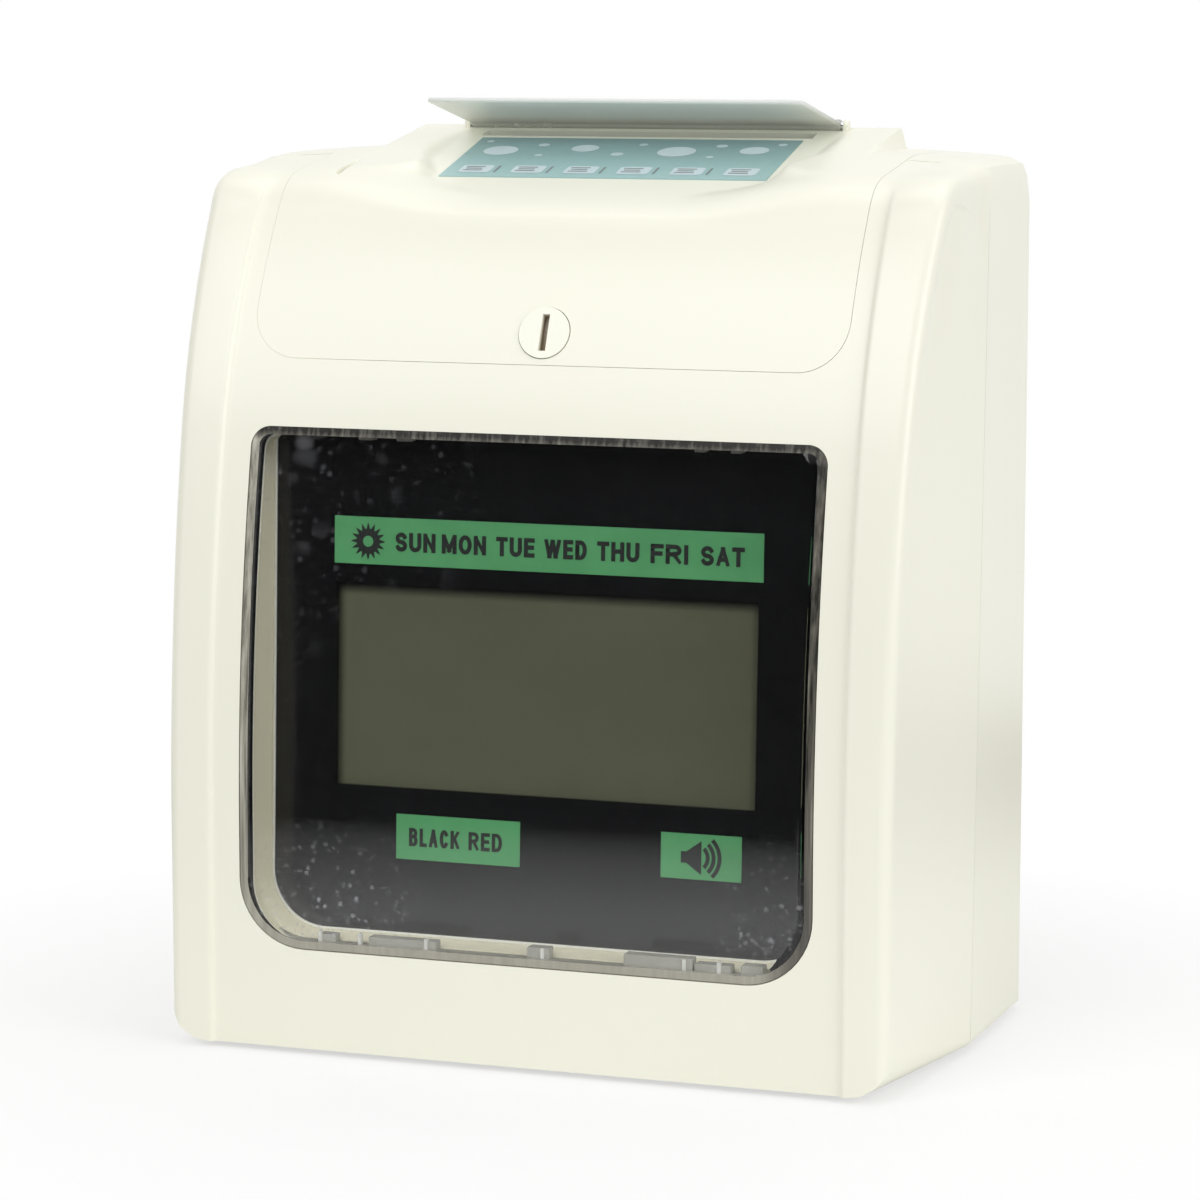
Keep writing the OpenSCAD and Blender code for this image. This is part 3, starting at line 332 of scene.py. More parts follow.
def grainOf(tree, place, scale, distance):
    # A fine grain in relief
    return bumpOf(tree, noiseOf(tree, place, scale, 2.0), distance)


def mathOf(tree, operation, first, second=0.0):
    # One operation on two numbers, each a socket or a plain value
    return nodeOf(tree, "Math", {0: first, 1: second}, operation)["Value"]


def mixShaders(tree, fac, first, second):
    # Two shaders mixed by a share
    return nodeOf(tree, "MixShader", {0: fac, 1: first, 2: second})["Shader"]


def shadowThrough(tree, shader, color, share):
    # The shader for every ray but a share of the shadow rays, which a clear shader lets through
    through = nodeOf(tree, "BsdfTransparent", {"Color": color})["BSDF"]
    fac = mathOf(tree, "MULTIPLY", nodeOf(tree, "LightPath", {})["Is Shadow Ray"], share)
    return mixShaders(tree, fac, shader, through)


def showAs(tree, shader):
    # The shader that the material shows
    feed(tree, tree.nodes["Material Output"].inputs, {"Surface": shader})


def plainFinish(name, darker, lighter, rough, cloud, grain, relief=0.00003, metallic=0.0, streak=(1, 1, 1),
                detail=4.0):
    # Cloudy colour between two tones, roughness that drifts with it, and a fine grain in relief
    made, tree, shader, place = startFinish(name)
    place = stretched(tree, place, streak)
    drift = noiseOf(tree, place, cloud, detail)
    feed(tree, shader.inputs, {"Base Color": rampOf(tree, drift, [(0.15, darker), (0.85, lighter)]),
                               "Roughness": rangeOf(tree, drift, *rough, 0.15, 0.85), "Metallic": metallic,
                               "Normal": grainOf(tree, place, grain, relief)})
    return made


# Each row: darker and lighter tone, roughness, cloud and grain scales, relief in metres, metal, streak, cloud
# detail
plainRows = dict(
    creamPlastic=((238, 237, 221), (242, 241, 226), (0.294, 0.318), 9, 2600, 0.000005, 0.0, (1, 1, 1), 0.0),
    blackPanel=((12, 12, 14), (17, 17, 19), (0.12, 0.2), 40, 2400, 0.00001),
    greyPlastic=((112, 114, 118), (126, 128, 132), (0.4, 0.55), 30, 1400),
    steelSheet=((158, 160, 164), (186, 188, 192), (0.28, 0.42), 60, 700, 0.00002, 1.0, (1, 1, 14)),
    polishedRod=((190, 192, 196), (212, 214, 218), (0.1, 0.2), 60, 900, 0.00001, 1.0, (0.3, 8, 8)),
    castAlloy=((120, 121, 124), (146, 147, 150), (0.45, 0.62), 90, 800, 0.00006, 0.8),
    rubberSkin=((30, 30, 31), (42, 42, 43), (0.7, 0.86), 50, 1300, 0.00006),
    ribbonFabric=((20, 18, 24), (34, 30, 38), (0.75, 0.9), 120, 2200, 0.00004),
    blueKnob=((52, 98, 160), (64, 112, 178), (0.3, 0.42), 40, 1200),
    gearPlastic=((228, 224, 208), (240, 236, 222), (0.35, 0.5), 50, 1100),
    brassMetal=((190, 150, 72), (214, 174, 92), (0.22, 0.36), 70, 900, 0.00002, 1.0),
    keyPlastic=((212, 211, 200), (226, 225, 214), (0.36, 0.48), 60, 1200),
    coreIron=((96, 88, 74), (124, 114, 98), (0.5, 0.7), 40, 600, 0.00006, 0.5, (1, 12, 1)),
    batteryWrap=((38, 104, 66), (50, 122, 78), (0.25, 0.36), 40, 1500),
    circuitBoard=((14, 74, 42), (28, 104, 62), (0.35, 0.5), 160, 500, 0.00005),
    labelPrint=((124, 150, 148), (162, 194, 192), (0.35, 0.45), 30, 1800, 0.00001),
    tunnelPlastic=((232, 225, 198), (242, 235, 208), (0.4, 0.5), 24, 1800, 0.00001),
    clipPlastic=((150, 148, 138), (178, 176, 166), (0.16, 0.26), 240, 900, 0.00002),
    postPlastic=((206, 205, 198), (226, 225, 218), (0.16, 0.26), 240, 900, 0.00002),
    rimWallPaintedLight=((216, 213, 202), (250, 248, 240), (0.3, 0.4), 60, 900, 0.00002, 0.0, (1, 16, 0.5)),
    lipPaintedHighlight=((240, 239, 232), (252, 251, 246), (0.3, 0.4), 90, 1200, 0.00001),
    stripGreen=((76, 150, 94), (88, 166, 106), (0.4, 0.5), 90, 2000, 0.00001),
    printInk=((10, 14, 12), (18, 24, 20), (0.5, 0.62), 200, 2400, 0.00001),
    paleInk=((190, 208, 214), (206, 221, 226), (0.34, 0.42), 120, 2200, 0.00001),
    greyInk=((118, 126, 126), (138, 146, 146), (0.4, 0.5), 200, 2200, 0.00001))
finishes = {name: plainFinish(name, *row) for name, row in plainRows.items()}


def flapFinish(name):
    # Milky plate: cloudy grey, with painted shade that darkens it from its front edge back towards the hinge;
    # it lets part of the light and shadow through
    made, tree, shader, place = startFinish(name)
    drift = noiseOf(tree, place, 24)
    # Painted shade: darker from the front edge back towards the hinge
    rise = rangeOf(tree, splitOf(tree, place)["Y"], 1.0, 0.0, 0.0165, 0.0445)
    spread = mathOf(tree, "ADD", rise, rangeOf(tree, drift, -0.04, 0.04))
    feed(tree, shader.inputs, {
        "Base Color": rampOf(tree, spread, [(0.0, (194, 195, 187)), (0.4, (228, 231, 227)),
                                            (0.8, (236, 239, 236)), (1.0, (246, 248, 246))]),
        "Roughness": rangeOf(tree, drift, 0.2, 0.3), "Transmission Weight": 0.3,
        "Normal": grainOf(tree, place, 1500, 0.00001)})
    showAs(tree, shadowThrough(tree, shader.outputs["BSDF"], tone(236, 240, 238), 0.72))
    return made


displayFade = dict(middle=0.0882, across=(0.0521, 0.0557), up=(0.0238, 0.0264))


def displayFinish(name):
    # Olive liquid-crystal glass that darkens softly towards its four edges, with faint cloud
    made, tree, shader, place = startFinish(name)
    split = splitOf(tree, place)
    across = mathOf(tree, "ABSOLUTE", split["X"])
    up = mathOf(tree, "ABSOLUTE", mathOf(tree, "SUBTRACT", split["Z"], displayFade["middle"]))
    share = mathOf(tree, "MULTIPLY", rangeOf(tree, across, 1.0, 0.0, *displayFade["across"]),
                   rangeOf(tree, up, 1.0, 0.0, *displayFade["up"]))
    cloud = rangeOf(tree, noiseOf(tree, stretched(tree, place, (0.4, 1, 1.6)), 28), 0.9, 1.0)
    feed(tree, shader.inputs, {
        "Base Color": rampOf(tree, mathOf(tree, "MULTIPLY", share, cloud),
                             [(0.0, (12, 12, 10)), (0.45, (62, 62, 48)), (1.0, (93, 94, 75))]),
        "Roughness": rangeOf(tree, noiseOf(tree, place, 60), 0.4, 0.5), "Specular IOR Level": 0.2,
        "Normal": grainOf(tree, place, 1800, 0.00001)})
    return made


def lockFinish(name, point, axis):
    # Cream plastic that darkens to brown with depth below the lock's face: painted shade in the key slot
    made, tree, shader, place = startFinish(name)
    shift = nodeOf(tree, "VectorMath", {0: place, 1: point}, "SUBTRACT")["Vector"]
    along = nodeOf(tree, "VectorMath", {0: shift, 1: axis}, "DOT_PRODUCT")["Value"]
    depth = rangeOf(tree, along, 0.0, 1.0, -0.0016, 0.0)
    feed(tree, shader.inputs, {
        "Base Color": rampOf(tree, depth, [(0.0, (150, 135, 112)), (0.5, (222, 213, 194)),
                                           (0.9, (236, 235, 219)), (1.0, (241, 241, 226))]),
        "Roughness": rangeOf(tree, noiseOf(tree, place, 40), 0.24, 0.34),
        "Normal": grainOf(tree, place, 2600, 0.00001)})
    return made


def clearFinish(name, color, rough, dust):
    # Clear plastic that lets lamps through; dust adds pale specks, a cell pattern thinned by noise that fades
    # out with the distance from a middle
    made, tree, shader, place = startFinish(name)
    feed(tree, shader.inputs, {"Transmission Weight": 1.0, "IOR": 1.49, "Base Color": color,
                               "Roughness": rangeOf(tree, noiseOf(tree, place, 220.0), *rough)})
    last = shadowThrough(tree, shader.outputs["BSDF"], color, 1.0)
    for scale, size, share, middle, reach in dust:
        cells = nodeOf(tree, "TexVoronoi", {"Scale": scale, "Randomness": 1.0, "Vector": place})["Distance"]
        spots = rangeOf(tree, cells, 1.0, 0.0, size * 0.6, size)
        some = rangeOf(tree, noiseOf(tree, place, scale * 0.7, 1.0), 0.0, 1.0, 0.48, 0.6)
        far = nodeOf(tree, "VectorMath", {0: place, 1: middle}, "DISTANCE")["Value"]
        near = rangeOf(tree, far, share, 0.0, reach * 0.25, reach)
        speck = nodeOf(tree, "BsdfDiffuse", {"Color": tone(226, 226, 232)})["BSDF"]
        fac = mathOf(tree, "MULTIPLY", mathOf(tree, "MULTIPLY", spots, some), near)
        last = mixShaders(tree, fac, last, speck)
    showAs(tree, last)
    return made


def rimFinish(name):
    # Smoky rim with streaks up its sides, even near its bottom, and painted shade that darkens its top and
    # right edges
    made, tree, shader, place = startFinish(name)
    streak = noiseOf(tree, stretched(tree, place, (16, 16, 0.5)), 50, 3.0)
    split = splitOf(tree, place)
    top = rangeOf(tree, split["Z"], 0.0, 0.5, 0.1505, 0.153)
    right = rangeOf(tree, split["X"], 0.0, 0.34, 0.06, 0.0712)
    low = rangeOf(tree, split["Z"], 0.85, 0.0, 0.029, 0.048)
    even = mathOf(tree, "ADD", mathOf(tree, "MULTIPLY", streak, mathOf(tree, "SUBTRACT", 1.0, low)),
                  mathOf(tree, "MULTIPLY", low, 0.52))
    # Painted shade: the top and right edges are darkened
    share = mathOf(tree, "SUBTRACT", even, mathOf(tree, "MAXIMUM", top, right))
    feed(tree, shader.inputs, {
        "Base Color": rampOf(tree, share, [(0.0, (44, 43, 40)), (0.3, (104, 101, 92)),
                                           (0.55, (166, 163, 150)), (0.8, (206, 204, 192))]),
        "Roughness": rangeOf(tree, streak, 0.12, 0.24), "Normal": bumpOf(tree, even, 0.00005)})
    return made


def labelFinish(name):
    # Teal with the flap's painted shadow, darker towards the far edge under the flap, with faint print grain
    made, tree, shader, place = startFinish(name)
    # Painted shadow of the flap: the teal darkens towards the label's far edge
    slope = rangeOf(tree, splitOf(tree, place)["Y"], 0.0, 1.0, 0.003, 0.034)
    feed(tree, shader.inputs, {
        "Base Color": rampOf(tree, slope, [(0.0, (160, 194, 193)), (0.45, (146, 181, 181)),
                                           (1.0, (128, 157, 160))]),
        "Roughness": rangeOf(tree, noiseOf(tree, place, 400), 0.3, 0.42),
        "Normal": grainOf(tree, place, 2600, 0.00001)})
    return made


# Dust on the clear cover: cell scale, speck size, strength, middle and reach in metres
upperLeft = (-0.062, -0.045, 0.148)
lowerLeft = (-0.049, -0.054, 0.034)
lowerRight = (0.0675, -0.054, 0.039)
dustRows = [(120, 0.36, 0.045, upperLeft, 0.055), (300, 0.28, 0.06, upperLeft, 0.06),
            (480, 0.36, 0.2, lowerLeft, 0.028), (480, 0.36, 0.17, lowerRight, 0.025)]
finishes["clearCover"] = clearFinish("clearCover", (0.93, 0.94, 0.94, 1), (0.01, 0.05), dustRows)
for name, make in (("flapPlasticPaintedShade", flapFinish), ("displayGlass", displayFinish), ("smokyRimPaintedShade", rimFinish),
                   ("labelTealPaintedShadow", labelFinish)):
    finishes[name] = make(name)

nodeFinish = dict(
    creamPlastic="front_case rear_case top_lid lock_barrel",
    labelPrint="instruction_label",
    blackPanel="display_mask print_carriage ribbon_cassette drive_pulley idler_pulley buzzer power_inlet",
    greyPlastic="lcd_frame key_panel",
    displayGlass="lcd_glass",
    circuitBoard="display_board key_board main_board",
    steelSheet="chassis_plate left_frame right_frame motor_plate front_guide rear_guide lock_cam",
    polishedRod="hinge_pins flap_pin lock_screw display_screws chassis_screws frame_screws carriage_rod "
                "guide_rod feed_shaft board_standoffs board_screws case_screws",
    castAlloy="print_head carriage_motor feed_motor",
    rubberSkin="carriage_belt platen feed_rollers pinch_roller feet",
    ribbonFabric="ribbon",
    blueKnob="ribbon_knob",
    gearPlastic="feed_gear",
    brassMetal="motor_pinion",
    keyPlastic="key_1 key_2 key_3 key_4",
    coreIron="transformer",
    batteryWrap="backup_battery",
    flapPlasticPaintedShade="throat_flap display_window")
for finish, names in nodeFinish.items():
    for name in names.split():
        nodes[name].data.materials.clear()
        nodes[name].data.materials.append(finishes[finish])
print("finishes on the carried-over nodes")

# Rear half: a merged copy of its solid with smooth rounded edges, fuller shoulders and the falling top
rearMesh, rearWork = openCopy("rear_case")
bmesh.ops.dissolve_limit(rearWork, angle_limit=math.radians(0.2), verts=rearWork.verts, edges=rearWork.edges)
rearPoints = closeCopy(rearMesh, rearWork)
rearX, rearY, rearZ = (rearPoints * 1000 - toFrame((0, 0, 0)) * 1000).T
shoulderX = np.maximum(0, abs(rearX) - case["rearHalf"] + case["shoulderRound"])
shoulderZ = np.maximum(0, rearZ - case["height"] + case["shoulderRound"])
fuller = case["bulge"] * np.sin(2 * np.arctan2(shoulderZ, shoulderX)) ** 2
rearPoints[:, 0] += np.sign(rearX) * fuller / 1000
rearPoints[:, 2] += (fuller - crownAt(rearX, rearY, rearZ)) / 1000
rearPiece = placeCopy("rearShell", rearMesh, rearPoints, finishes["creamPlastic"], 24, "case", "rear_case")
weighted = rearPiece.modifiers.new("even shading", "WEIGHTED_NORMAL")
weighted.keep_sharp = True
weighted.weight = 100
print("rear half")

# Front half
window = dict(half=73.6, low=24.8, high=152.6, lowRound=17.0, topRound=5.0)
lid = dict(half=76.0, low=169.0, round=12.0, seam=0.12, wall=2.2, eased=0.3)
scoop = dict(depth=1.2, rise=(189.0, 16.0), back=(36.0, 28.0), shut=5.0, band=0.9, bandRise=(160.0, 40.0),
             soft=3.0, bandWide=12.0, close=(211.0, 4.0), bend=(0.6, 0.95))
crease = dict(x=(79.8, 80.35, 80.55, 80.75, 80.95, 81.15, 81.35, 81.55, 82.3), outer=81.6, run=1.25)
cheek = dict(full=2.0, lean=(22, 34), back=(26, 38), x=(78, 9))
lowArcTop = window["low"] + window["lowRound"]
topArcLow = window["high"] - window["topRound"]
lidArcTop = lid["low"] + lid["round"]


def arcHalf(flat, bendRound, away):
    # Half width on a round corner: the flat part and the circle's reach at a distance from its middle
    return flat + np.sqrt(np.maximum(0, bendRound ** 2 - away ** 2))


def openingHalf(height):
    # Half width of the openings at a height: window with round corners, a narrowing band, then the lid
    lowHalf = window["half"] - window["lowRound"]
    topHalf = window["half"] - window["topRound"]
    lidHalf = lid["half"] - lid["round"]
    band = topHalf + (height - window["high"]) / (lid["low"] - window["high"]) * (lidHalf - topHalf)
    limits = (window["low"], lowArcTop, topArcLow, window["high"], lid["low"], lidArcTop)
    return np.select([height <= limit for limit in limits],
                     [lowHalf, arcHalf(lowHalf, window["lowRound"], lowArcTop - height), window["half"],
                      arcHalf(topHalf, window["topRound"], height - topArcLow), band,
                      arcHalf(lidHalf, lid["round"], lidArcTop - height)], lid["half"])


def rowNear(height):
    # The row of the front half nearest to a height
    return int(np.argmin(abs(rowZ - height)))


turnStart = lengthAtHeight(case["turnHeight"])
topEnd = lengthAtDepth(case["topBack"])
heights = np.concatenate([
    np.linspace(0, window["low"], 9)[:-1],
    window["low"] + window["lowRound"] * (1 - np.cos(quarter))[:-1],
    np.linspace(lowArcTop, topArcLow, 38)[:-1],
    topArcLow + window["topRound"] * np.sin(quarter)[:-1],
    np.linspace(window["high"], lid["low"], 8)[:-1],
    lid["low"] + lid["round"] * (1 - np.cos(quarter))[:-1],
    np.linspace(lidArcTop, case["turnHeight"], 12)[:-1]])
rowLength = np.concatenate([lengthAtHeight(heights), np.linspace(turnStart, topEnd, 30)])[:, None]
rowY, rowZ, rowLean = profileAt(rowLength)
rowOpen = openingHalf(rowZ)

# The edge between front and side: its width, radius and the direction in which it turns inwards
turned = softStep((rowLength - turnStart) / (topEnd - turnStart))
edgeHalf = case["frontHalf"] + (case["rearHalf"] - case["frontHalf"]) * np.clip(rowY / case["sideRun"], 0, 1)
edgeRound = case["edgeRound"] + (case["shoulderRound"] - case["edgeRound"]) * turned
inY = (1 - turned) * np.cos(rowLean) - turned * partingTan
inZ = -(1 - turned) * np.sin(rowLean) - turned
inSize = np.hypot(inY, inZ)

# Columns of a strip from the opening over the crease to the edge
creaseX = np.array(crease["x"])
flatX = np.concatenate([rowOpen + (creaseX[0] - rowOpen) * np.linspace(0, 1, 8)[:-1],
                        np.repeat(creaseX[None], len(rowZ), 0),
                        creaseX[-1] + (edgeHalf - edgeRound - creaseX[-1]) * np.array([0.5, 1.0])], 1)
stepIn = panelDepth(rowLean) * softFall(flatX, crease["outer"], crease["run"])
flatPart = stacked(flatX, *onPanel(rowY, rowZ, rowLean, stepIn))
bend = np.linspace(0, math.pi / 2, 10)[1:]
bulge = case["bulge"] * turned * np.sin(2 * bend) ** 2
bendX = edgeHalf - edgeRound * (1 - np.sin(bend)) + bulge
bendIn = edgeRound * (1 - np.cos(bend)) - bulge
bendPart = stacked(bendX, rowY + inY / inSize * bendIn, rowZ + inZ / inSize * bendIn)

# The cheeks are fuller than the panel on the turn: both parts are pushed out along the profile's normal
onTurn = softRise(np.degrees(rowLean), *cheek["lean"]) * (1 - softRise(rowY, *cheek["back"]))
for part in (flatPart, bendPart):
    fuller = cheek["full"] * onTurn * softRise(part[..., 0], *cheek["x"])
    part[..., 1] -= np.cos(rowLean) * fuller
    part[..., 2] += np.sin(rowLean) * fuller

# The side runs back to the parting line; near the top its rows fan out down that line
along = np.linspace(0, 1, 29)[1:]
edgeY, edgeZ = bendPart[:, -1:, 1], bendPart[:, -1:, 2]
fan = rowNear(case["fanHeight"])
seamZ = edgeZ.copy()
seamZ[fan:] = edgeZ[fan] + (edgeZ[-1] - edgeZ[fan]) * (
    rowLength[fan:] - rowLength[fan]) / (topEnd - rowLength[fan])
seamY = partingAt(seamZ) - case["seam"]
sidePart = stacked(edgeHalf + (case["rearHalf"] - edgeHalf) * along, edgeY + (seamY - edgeY) * along,
                   edgeZ + (seamZ - edgeZ) * along)
strip = np.concatenate([flatPart, bendPart, sidePart], 1)
flatCount, sideFrom = flatPart.shape[1], flatPart.shape[1] + bendPart.shape[1]

# Round lower corners: the lowest rows are lifted by a quarter circle that shrinks towards the parting line
corner = case["lowerCorner"]
overCorner = np.clip(strip[0, :, 0] - case["frontHalf"] + corner, 0, corner)
lift = corner - np.sqrt(corner ** 2 - overCorner ** 2)
lift[sideFrom:] = corner + (case["rearCorner"] - corner) * along
strip[..., 2] += lift * np.clip(1 - rowZ / window["low"], 0, 1)

# Finger scoop: the top of the side falls inwards behind the front edge, and a band along that edge runs
# further down; both close before the parting line, and the band before the top
stripY, stripZ = strip[..., 1], strip[..., 2]
behindEdge = stripY - stripY[:, sideFrom - 1:sideFrom]
deep = scoop["depth"] * softRise(stripZ, *scoop["rise"]) * softRise(stripY, *scoop["back"])
band = scoop["band"] * softRise(stripZ, *scoop["bandRise"]) * (
    1 - softRise(behindEdge, scoop["soft"], scoop["bandWide"]))
band = band * softStep(behindEdge / scoop["soft"]) * (1 - softRise(stripZ, *scoop["close"]))
shut = softFall(stripY, partingAt(stripZ), scoop["shut"])
onSide = np.zeros(strip.shape[1])
onSide[sideFrom:] = 1
onSide[flatCount:sideFrom] = softRise(bend, *scoop["bend"])
strip[..., 0] -= np.maximum(deep, band) * shut * onSide
strip[..., 2] -= crownAt(strip[..., 0], stripY, stripZ)


def bridge(rows):
    # The band between the two strips over some rows
    y, z = onPanel(rowY[rows], rowZ[rows], rowLean[rows], panelDepth(rowLean[rows]))
    return stacked(rowOpen[rows] * np.linspace(-1, 1, 25), y, z)


lowBridge = bridge(slice(0, rowNear(window["low"]) + 1))
midBridge = bridge(slice(rowNear(window["high"]), rowNear(lid["low"]) + 1))

# Underside: the lowest front row carried back to the parting line
lowRight = strip[0, :sideFrom]
lowFront = np.concatenate([lowRight[::-1] * mirror, lowBridge[0, 1:-1], lowRight])
cornerStart = case["frontHalf"] - corner
rearStart = case["rearHalf"] - case["rearCorner"]
frontX = abs(lowFront[:, 0])
backX = np.sign(lowFront[:, 0]) * (np.minimum(frontX, cornerStart) * rearStart / cornerStart
                                   + np.maximum(0, frontX - cornerStart) * case["rearCorner"] / corner)
backZ = lowFront[:, 2] * case["rearCorner"] / corner
lowRear = stacked(backX, partingAt(backZ) - case["seam"], backZ)
for end, side in ((0, -1), (-1, 1)):
    lowRear[end] = sidePart[0, -1] * np.array([side, 1, 0]) + np.array([0, 0, case["rearCorner"]])
underside = lowFront + (lowRear - lowFront) * np.linspace(0, 1, 29)[:, None, None]
makePiece("frontShell", [strip, strip * mirror, lowBridge, midBridge, underside], "case", "creamPlastic",
          ["front_case"], (0, 60, 110), case["wall"], case["eased"])
print("front half")

# Tunnel from the window's ledge back to the display mask
tunnel = dict(ledge=2.4, ledgeDepth=5.0, front=2.2, gap=0.02, lap=0.1, maskY=18.0, maskMiddle=88.7, wall=1.2)


def windowOutline(grow):
    # Closed outline of the window with round corners, the lower ones larger, moved outwards by grow
    half, low, high = window["half"] + grow, window["low"] - grow, window["high"] + grow
    lowRound, topRound = window["lowRound"] + grow, window["topRound"] + grow
    sine, cosine = np.sin(np.linspace(0, math.pi / 2, 24)), np.cos(np.linspace(0, math.pi / 2, 24))
    lowRight = np.stack([half - lowRound + lowRound * sine, low + lowRound - lowRound * cosine], -1)
    topRight = np.stack([half - topRound + topRound * cosine, high - topRound + topRound * sine], -1)
    right = lowRight[-1] + (topRight[0] - lowRight[-1]) * np.linspace(0, 1, 40)[1:-1, None]
    rightHalf = np.concatenate([lowRight, right, topRight])
    leftHalf = rightHalf[::-1] * np.array([-1, 1])
    across = np.linspace(0, 1, 34)[1:-1, None]
    top = topRight[-1] + (leftHalf[0] - topRight[-1]) * across
    bottom = leftHalf[-1] + (rightHalf[0] - leftHalf[-1]) * across
    return np.concatenate([rightHalf, top, leftHalf, bottom])


def outlineRing(grow, depth):
    # The window outline at a depth behind the front surface
    x, z = windowOutline(grow).T
    return stacked(x, frontAt(z) + depth, z)


def maskAt(height):
    # Depth of the leaning display mask's front face
    return tunnel["maskY"] + (height - tunnel["maskMiddle"]) * partingTan


def onMask(x, z, proud):
    # Points on the display mask's face, a little in front of it
    return stacked(x, maskAt(z) - proud, z)


panelStep = case["panelStep"]
ledgeIn = panelStep + tunnel["ledgeDepth"]
maskRing = onMask(*windowOutline(-tunnel["ledge"]).T, tunnel["gap"])
ledgeRing = outlineRing(-tunnel["ledge"], ledgeIn)
tunnelRows = [outlineRing(tunnel["lap"], panelStep + tunnel["front"]), outlineRing(tunnel["lap"], ledgeIn)]
tunnelRows += [ledgeRing + (maskRing - ledgeRing) * share for share in np.linspace(0, 1, 8)]
makePiece("windowTunnel", [ringed(np.stack(tunnelRows))], "case", "tunnelPlastic", (),
          (0, 10, 88.7), tunnel["wall"], facing=-1)
print("window tunnel")

# Lid
hood = dict(half=65.0, start=68.2, rear=104.5, slope=math.tan(math.radians(10)), fromY=47.3, fromZ=213.9,
            round=2.0, soft=1.4, rearRun=2.1)
recess = dict(half=51.5, y=58.1, z=211.7, slope=math.radians(15.9), wallWidth=4.0, nearWidth=1.5,
              softWidth=40.0, narrow=5.0, near=(74.0, 16.0), ahead=(58.0, 14.0), blend=0.4, blendMore=2.0,
              blendRun=(60.0, 22.0), clear=9.0, back=99.0)
dent = dict(x=-64.4, width=0.5, depth=2.4, front=(43.0, 3.0), back=(60.0, 9.0))
throat = dict(half=44.5, front=91.5, rear=96.5)
lock = dict(height=176.7, radius=6.62, grow=1.07, slotGrow=1.3, slotRadius=4.42, slotDepth=2.2,
            faceRadius=5.0, block=9.0, lowShare=0.8, y=19.002, z=176.326, lean=math.radians(21.94), turn=7.5,
            eased=0.25)
hinge = dict(y=106.0, z=214.5, radius=3.95, roll=215)


def lidSurface(x, y, z):
    # The case profile, lower towards the sides, with the hood's ramp added behind its start and rounded off
    # at its back, then the label's floor cut in by a soft minimum whose half width narrows and whose wall
    # widens towards the front, and a short dent on the left
    ramp = hood["fromZ"] + (y - hood["fromY"]) * hood["slope"]
    overRear = np.clip(y - hood["rear"] + hood["round"], 0, hood["round"])
    ramp = ramp - hood["round"] + np.sqrt(hood["round"] ** 2 - overRear ** 2)
    raised = np.where(y > hood["start"], np.maximum(z, ramp), z)
    side = softFall(abs(x), hood["half"] + hood["soft"] / 2, hood["soft"])
    top = z + (raised - z) * side - crownAt(x, y, z)
    floor = recess["z"] + (y - recess["y"]) * math.tan(recess["slope"])
    soft = recess["blend"] + recess["blendMore"] * softFall(y, *recess["blendRun"])
    cut = -soft * np.logaddexp(-top / soft, -floor / soft)
    cut = np.where(floor - top > recess["clear"], top, cut)
    near = softFall(y, *recess["near"])
    ahead = softFall(y, *recess["ahead"])
    half = recess["half"] - recess["narrow"] * near
    width = recess["wallWidth"] + recess["nearWidth"] * near + recess["softWidth"] * ahead
    inside = softFall(abs(x), half + width / 2, width)
    dented = dent["depth"] * np.exp(-((x - dent["x"]) / dent["width"]) ** 2)
    dented = dented * softRise(y, *dent["front"]) * softFall(y, *dent["back"])
    return top + (cut - top) * inside * (y < recess["back"]) - dented


def lidPoints(x, y, z, lean):
    # Points of the lid: panel step along the inward normal, then hood and recess
    y, z = onPanel(y, z, lean, panelDepth(lean))
    return stacked(x, y, lidSurface(x, y, z))


lockLength = lengthAtHeight(lock["height"])
blockLow, blockHigh = lockLength - lock["block"] * lock["lowShare"], lockLength + lock["block"]
roundLength = lengthAtHeight(lid["low"] + lid["seam"] + lid["round"] * (1 - np.cos(quarter)))
lidRows = np.unique(np.concatenate([
    roundLength[roundLength < blockLow],
    stations(blockLow, (blockHigh, 19), (turnStart, 16), (lengthAtDepth(hood["fromY"]), 22)),
    lengthAtDepth(stations(hood["fromY"], (throat["front"], 46), (throat["rear"], 7),
                           (hood["rear"] - hood["rearRun"], 8))),
    lengthAtDepth(hood["rear"] - hood["rearRun"] * (1 - np.sin(quarter)))]).round(6))
lidY, lidZ, lidLean = profileAt(lidRows[:, None])
lidWide = openingHalf(lidZ - lid["seam"]) - lid["seam"]

# Columns from the middle out, denser at the lock, the recess's wall and the hood's flank
halfX = stations(0, (lock["block"], 19), (34, 14), (throat["half"], 13), (50.3, 12), (52.7, 13), (62.6, 9),
                 (66.2, 13), (lid["half"] - lid["seam"], 9))
lidColumns = np.concatenate([-halfX[:0:-1], halfX])
outwards = (abs(lidColumns) - throat["half"]) / (halfX[-1] - throat["half"])
lidX = np.where(outwards <= 0, lidColumns,
                np.sign(lidColumns) * (throat["half"] + (lidWide - throat["half"]) * outwards))
rollTurn = np.linspace(0, math.radians(hinge["roll"]), 26)
rollY = np.concatenate([[hood["rear"]], hinge["y"] + hinge["radius"] * np.sin(rollTurn)])[:, None]
rollZ = np.concatenate([[case["height"]], hinge["z"] + hinge["radius"] * np.cos(rollTurn)])[:, None]
rollGrid = stacked(lidX[-1], rollY, rollZ - crownAt(lidX[-1], hinge["y"], rollZ))
lidGrid = np.concatenate([lidPoints(lidX, lidY, lidZ, lidLean), rollGrid])

